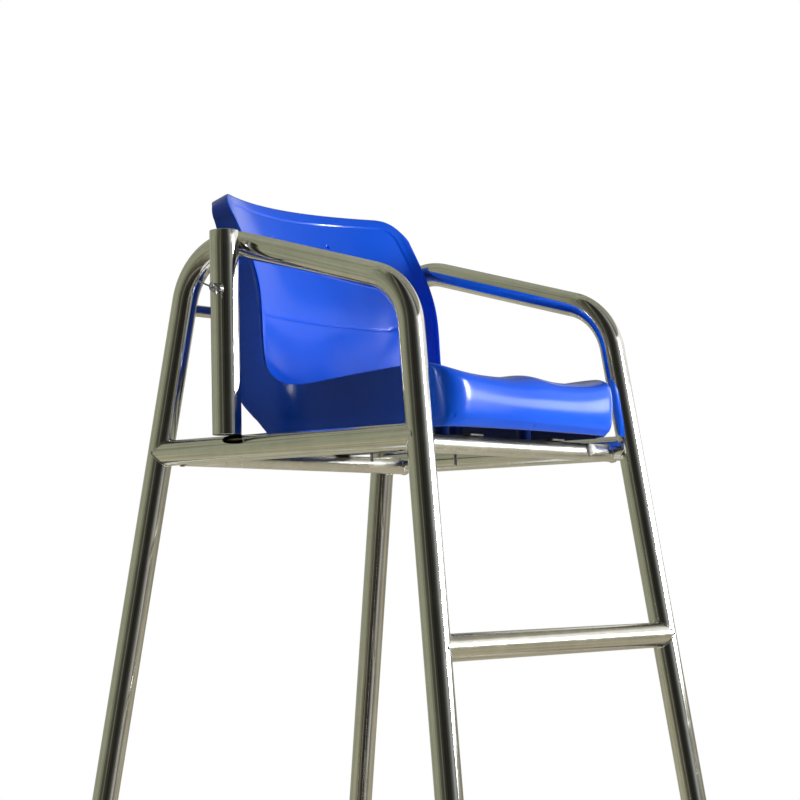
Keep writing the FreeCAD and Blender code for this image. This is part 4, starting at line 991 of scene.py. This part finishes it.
def threaded(name, radius, pitch, reach, spots, around=16):
    """A round rod with a screw thread between two heights about the line at each spot.
    The thread fades out over one turn at both ends."""
    low, high = reach
    depth, end_cut, rows = 0.55 * pitch, 0.35 * pitch, int((high - low) / pitch * 5)
    points, faces = [], []
    for spot in spots:
        base = len(points)
        heights = [low + (high - low) * i / rows for i in range(rows)] + [high]
        for height in heights:
            near_end = min((height - low) / pitch, (high - height) / pitch, 1.0)
            for k, a in enumerate(angles(around)):
                wave = abs(((height / pitch - k / around) % 1) * 2 - 1)
                r = radius - depth * (1 - wave) * near_end - end_cut * (1 - near_end)
                points.append(tuple(spot @ Vector((r * math.cos(a), r * math.sin(a), height))))
        faces += ring_faces(len(heights), around, base)
        last = base + (len(heights) - 1) * around
        faces.append(tuple(base + k for k in reversed(range(around))))
        faces.append(tuple(last + k for k in range(around)))
    mesh = plain_mesh(name, points, faces)
    soft_shaded(mesh, 50)
    return mesh


def joined(name, meshes):
    """One mesh from several, which are used up."""
    form = bmesh.new()
    for piece in meshes:
        form.from_mesh(piece)
        bpy.data.meshes.remove(piece)
    mesh = bpy.data.meshes.new(name)
    form.to_mesh(mesh)
    form.free()
    return mesh


studs = [threaded("stud_part", STUD_R, STUD_PITCH, (-drop, STUD_TOP), stud_spots(own_y))
         for own_y, drop in zip(STUD_YS, STUD_DROPS)]
put_in_scene("stud_set", joined("stud_set", studs), ZINC, nodes=("seat_studs",), slot="zinc_steel")


def fixing_tree():
    """A part set at every point of a carrier, each turned by its own random angle."""
    tree, start, real = growth_tree("fixing_set", ("Part", "Object"), ("Largest Turn", "Float", 6.283),
                                    ("Seed", "Int", 7))
    points = add_node(tree, "GeometryNodeMeshToPoints")
    source = add_node(tree, "GeometryNodeObjectInfo")
    angle = add_node(tree, "FunctionNodeRandomValue", data_type="FLOAT")
    turn = add_node(tree, "CombineXYZ")
    spread = add_node(tree, "GeometryNodeInstanceOnPoints")
    wire(tree, (start, points, "Mesh", "Geometry"), (start, source, "Object", "Part"),
         (start, angle, 3, "Largest Turn"), (start, angle, "Seed", "Seed"), (angle, turn, "Z", 1),
         (points, spread, "Points"), (source, spread, "Instance", "Geometry"), (turn, spread, "Rotation"),
         (spread, real, "Geometry"))
    return tree


def hexagon(flats, shave):
    """Radius of a hexagon at an angle, cut back to a circle at its corners."""
    def reach(a):
        off = (a + math.pi / 6) % (math.pi / 3) - math.pi / 6
        return min(flats / 2 / math.cos(off), flats / 2 * shave)
    return reach


narrow, full = hexagon(NUT_FLATS, 1.02), hexagon(NUT_FLATS, 1.155)
nut_rows = [(0.0, NUT_BORE), (0.0, narrow), (NUT_EDGE, full), (NUT_HIGH - NUT_EDGE, full), (NUT_HIGH, narrow),
            (NUT_HIGH, NUT_MOUTH), (NUT_HIGH - NUT_EDGE, NUT_BORE), (0.0, NUT_BORE)]
washer_rows = [(0.0, WASHER_BORE), (0.0, WASHER_R - WASHER_EDGE), (WASHER_EDGE, WASHER_R),
               (WASHER_THICK - WASHER_EDGE, WASHER_R), (WASHER_THICK, WASHER_R - WASHER_EDGE),
               (WASHER_THICK, WASHER_BORE), (0.0, WASHER_BORE)]
fixings = fixing_tree()
under_strap = CROSS_Z + CROSS_R
for name, rows, around, down, node in (
        ("nut_set", nut_rows, 48, WASHER_THICK + NUT_HIGH, "seat_nuts"),
        ("washer_set", washer_rows, 40, WASHER_THICK, "seat_washers")):
    sample = placed(f"{name}_sample", turned(f"{name}_sample", rows, [Matrix()], around, closed=False))
    stations = [(sign * STUD_X, SEAT_Y + y, under_strap - down) for sign in (-1, 1) for y in STUD_YS]
    carrier = placed(f"{name}_carrier", plain_mesh(f"{name}_stations", stations, []))
    grown = grown_mesh(carrier, fixings, name, Part=sample, Metal=ZINC)
    bpy.data.objects.remove(sample)
    put_in_scene(name, grown, ZINC, nodes=(node,), slot="zinc_steel")


# ---- Parasol tube ---------------------------------------------------------------
# A short wide tube for the foot of a parasol, welded upright to the outside of the
# right side frame. Its upper rim is rounded over and it is open at both ends.
POST_X, POST_Y, POST_R, POST_WALL = -0.31953, 0.06689, 0.024, 0.002
POST_LOW, POST_HIGH, CLAMP_Z, CLAMP_TURN = RAIL_HEIGHT + TUBE_R, 2.1335, 2.035, math.radians(195)
post_in = POST_R - POST_WALL
post_spot = Matrix.Translation((POST_X, POST_Y, POST_LOW))
post_high = POST_HIGH - POST_LOW
post_rows = [(0.0, post_in), (0.0, POST_R - 0.0004), (0.0004, POST_R)]
post_rows += [(post_high * k / 12, POST_R) for k in range(1, 12)]
post_rows += [(post_high - 0.0012, POST_R), (post_high - 0.0004, POST_R - 0.0004), (post_high, POST_R - 0.001),
              (post_high - 0.0004, post_in + 0.0003), (post_high - 0.0012, post_in), (0.0, post_in)]
put_turned("parasol_tube", post_rows, [post_spot], 96, TUBE_STEEL, closed=False, nodes=("parasol_post",))

CLAMP_FRAME = Matrix.Translation((POST_X, POST_Y, CLAMP_Z)) @ Matrix.Rotation(CLAMP_TURN, 4, "Z")
ALONG_SCREW = CLAMP_FRAME @ Matrix.Rotation(math.radians(90), 4, "Y")
boss_in, boss_out = 0.0225, 0.03297
nub_rows = [(boss_in, 0.0102), (boss_in + 0.0012, 0.0094), (boss_in + 0.0024, 0.009), (boss_out - 0.0009, 0.009),
            (boss_out, 0.0081), (boss_out, 0.0051), (boss_out - 0.0009, 0.0042), (boss_in + 0.002, 0.0042)]
put_turned("clamp_nub", nub_rows, [ALONG_SCREW], 56, PLATE_STEEL, closed=False, nodes=("clamp_boss",))


# ---- Clamp screw -----------------------------------------------------------------
# An eye screw with a loose-looking wire handle turns in the boss and presses a small
# nylon disc on the parasol pole. Zinc-plated; the handle is bent from round wire.
SCREW_R, SCREW_PITCH, EYE_X, EYE_R, EYE_WIRE = 0.004, 0.00125, 0.04597, 0.0055, 0.0019
HANDLE_X, HANDLE_R, HANDLE_LONG, HANDLE_SHORT, HANDLE_HOOK = 0.04807, 0.0015, 0.027, 0.009, 0.009
HANDLE_BEND, HANDLE_LEAN = 0.00375, math.radians(25)


def swept(path, radius, around, closed):
    """A round wire along a path, with domed ends when the path is open."""
    count = len(path)
    frames, side = [], None
    for i, point in enumerate(path):
        run = ((path[(i + 1) % count] - path[i - 1]) if closed else
               (path[min(i + 1, count - 1)] - path[max(i - 1, 0)])).normalized()
        side = run.orthogonal().normalized() if side is None else (side - run * side.dot(run)).normalized()
        frames.append((point, side, run.cross(side), run))
    if not closed:
        for end, way in ((0, -1), (-1, 1)):
            point, side, up, run = frames[end]
            extra = [(point + run * (way * radius * s), side, up, run, c) for s, c in
                     ((0.35, 0.937), (0.7, 0.714), (0.95, 0.312), (1.0, 0.02))]
            frames = extra[::-1] + frames if way < 0 else frames + extra
    points = []
    for row in frames:
        point, side, up = row[:3]
        size = radius * (row[4] if len(row) > 4 else 1)
        points += [tuple(point + side * (size * math.cos(a)) + up * (size * math.sin(a))) for a in angles(around)]
    total = len(frames)
    faces = ring_faces(total, around, closed=closed)
    if not closed:
        faces += [tuple(reversed(range(around))), tuple((total - 1) * around + k for k in range(around))]
    return plain_mesh("swept", points, faces)


def forged(name, meshes):
    """One smooth mesh from several; the pieces overlap as they would be forged."""
    mesh = joined(name, meshes)
    face_outward(mesh)
    soft_shaded(mesh, 50)
    return mesh


eye_path = [CLAMP_FRAME @ Vector((EYE_X + EYE_R * math.cos(a), 0, EYE_R * math.sin(a))) for a in angles(40)]
neck_rows = [(0.0370, 0.0031), (0.0384, 0.0040), (0.0398, 0.0038), (0.0412, 0.0024), (0.0418, 0.001)]
put_in_scene("eye_screw", forged("eye_screw", [
    threaded("screw_thread", SCREW_R, SCREW_PITCH, (0.02467, 0.0380), [ALONG_SCREW], 24),
    turned("screw_neck", neck_rows, [ALONG_SCREW], 24), swept(eye_path, EYE_WIRE, 16, True)]),
    ZINC, body="clamp_screw", nodes=("clamp_screw",), slot="zinc_steel")

lean_y, lean_z = math.cos(HANDLE_LEAN), math.sin(HANDLE_LEAN)
far_end = Vector((HANDLE_X, -lean_y * HANDLE_LONG, lean_z * HANDLE_LONG))
elbow = Vector((HANDLE_X, lean_y * HANDLE_SHORT, -lean_z * HANDLE_SHORT))
hook_end = elbow + Vector((0, 0, -HANDLE_HOOK))
handle_path = [CLAMP_FRAME @ p for p in [far_end, far_end.lerp(elbow, 0.3), far_end.lerp(elbow, 0.6)]
               + round_corner(far_end, elbow, hook_end, HANDLE_BEND, 10) + [hook_end]]
put_in_scene("wire_handle", forged("wire_handle", [swept(handle_path, HANDLE_R, 16, False)]), ZINC,
             body="clamp_screw", nodes=("clamp_handle",), slot="zinc_steel")


def pale_nylon(name, tint):
    """Moulded nylon: softly clouded, matt, with grey rubbed dirt and a fine grain."""
    cloud = (120, 4, 0.55)
    return clouded(name, (cloud, 0.30, [c * 0.82 for c in tint], 0.60, tint), (cloud, 0, 1, 0.34, 0.60),
                   ((1400, 2, 0.5), 0.12, 0.0002), _IOR=1.53, _Subsurface_Weight=0.25,
                   _Subsurface_Radius=(0.004, 0.003, 0.002), _Subsurface_Scale=0.5)


pad_rows = [(0.02267, 0.0042), (0.02297, 0.0048), (0.02337, 0.005), (0.02397, 0.005), (0.02437, 0.0048),
            (0.02467, 0.0042)]
put_turned("pressure_pad", pad_rows, [ALONG_SCREW], 40, pale_nylon("nylon_pad", (0.62, 0.60, 0.54)),
           body="clamp_pad", nodes=("clamp_pad",), slot="nylon")


# ---- Rail cap ---------------------------------------------------------------------
# A white nylon cap with a ball-shaped head, moulded in one piece and pressed into a
# hole in the front rail, near the rail's left end.
CAP_X, CAP_LEAN, CAP_R, CAP_SEAT = 0.207, math.radians(16), 0.0108, 0.0130
cap_turn = Matrix.Rotation(math.radians(90) - CAP_LEAN, 4, "X")
cap_frame = Matrix.Translation((CAP_X, FRONT_RAIL_Y, CROSS_Z)) @ cap_turn
cap_rows = [(CAP_SEAT + CAP_R * math.sin(a), CAP_R * math.cos(a))
            for a in (math.radians(d) for d in (-52, -40, -28, -16, -5, 6, 17, 28, 39, 50, 61, 72, 82, 88))]
put_turned("dome_cap", cap_rows, [cap_frame], 56, pale_nylon("white_nylon_cap", (0.93, 0.93, 0.91)),
           nodes=("rail_cap",), slot="white_nylon")


# ---- Rubber feet --------------------------------------------------------------------
# Four moulded rubber sleeves pushed over the leg ends. Each has three raised grip
# rings, a rounded upper lip round the tube, and a flat sole cut level with the floor.
FOOT_R, FOOT_HIGH, SOLE_BLEND = 0.0265, 0.062, 0.016
FOOT_ROWS = ((0.0, 0.0200), (0.0, 0.0238), (0.0006, 0.0249), (0.0020, 0.0256), (0.0070, 0.0256), (0.0090, 0.0262),
             (0.0105, FOOT_R), (0.0135, FOOT_R), (0.0150, 0.0260), (0.0165, 0.0254), (0.0225, 0.0254),
             (0.0240, 0.0260), (0.0255, FOOT_R), (0.0285, FOOT_R), (0.0300, 0.0260), (0.0315, 0.0254),
             (0.0375, 0.0253), (0.0390, 0.0259), (0.0405, 0.0264), (0.0435, 0.0264), (0.0450, 0.0259),
             (0.0465, 0.0253), (0.0570, 0.0252), (0.0596, 0.0250), (0.0610, 0.0245), (FOOT_HIGH, 0.0235),
             (FOOT_HIGH, 0.0225), (0.0613, 0.0217), (0.0590, 0.0214), (0.0520, 0.0214))

# Matt black, greyed by dust low down, with a scuffed fine grain.
SCUFF = (60, 6, 0.65)
RUBBER = clouded("moulded_black_rubber", (SCUFF, 0.18, (0.012, 0.012, 0.013), 0.60, (0.075, 0.070, 0.062)),
                 (SCUFF, 0, 1, 0.42, 0.72), ((700, 3, 0.6), 0.3, 0.0003), dust_top=0.045, _IOR=1.5)
for side in SIDES:
    for pair in ("front", "rear"):
        start, down, _ = leg_line(side, pair)
        sole = start + down * (RAIL_HEIGHT / -down.z)
        across = down.cross(Vector((1, 0, 0))).normalized()
        up = across.cross(down).normalized()
        points, around = [], 64
        for height, radius in FOOT_ROWS:
            level = 1 - min(height / SOLE_BLEND, 1.0)
            for a in angles(around):
                out = across * (radius * math.cos(a)) + up * (radius * math.sin(a))
                back = level * out.z / down.z
                points.append(tuple(sole - down * height + out - down * back))
        faces = ring_faces(len(FOOT_ROWS), around) + [tuple(range(around))]
        name = f"{pair}_sleeve_{side}"
        foot_mesh = plain_mesh(name, points, faces)
        face_outward(foot_mesh)
        soft_shaded(foot_mesh, 60)
        put_in_scene(name, foot_mesh, RUBBER, nodes=(f"{pair}_foot_{side}",), slot="black_rubber")
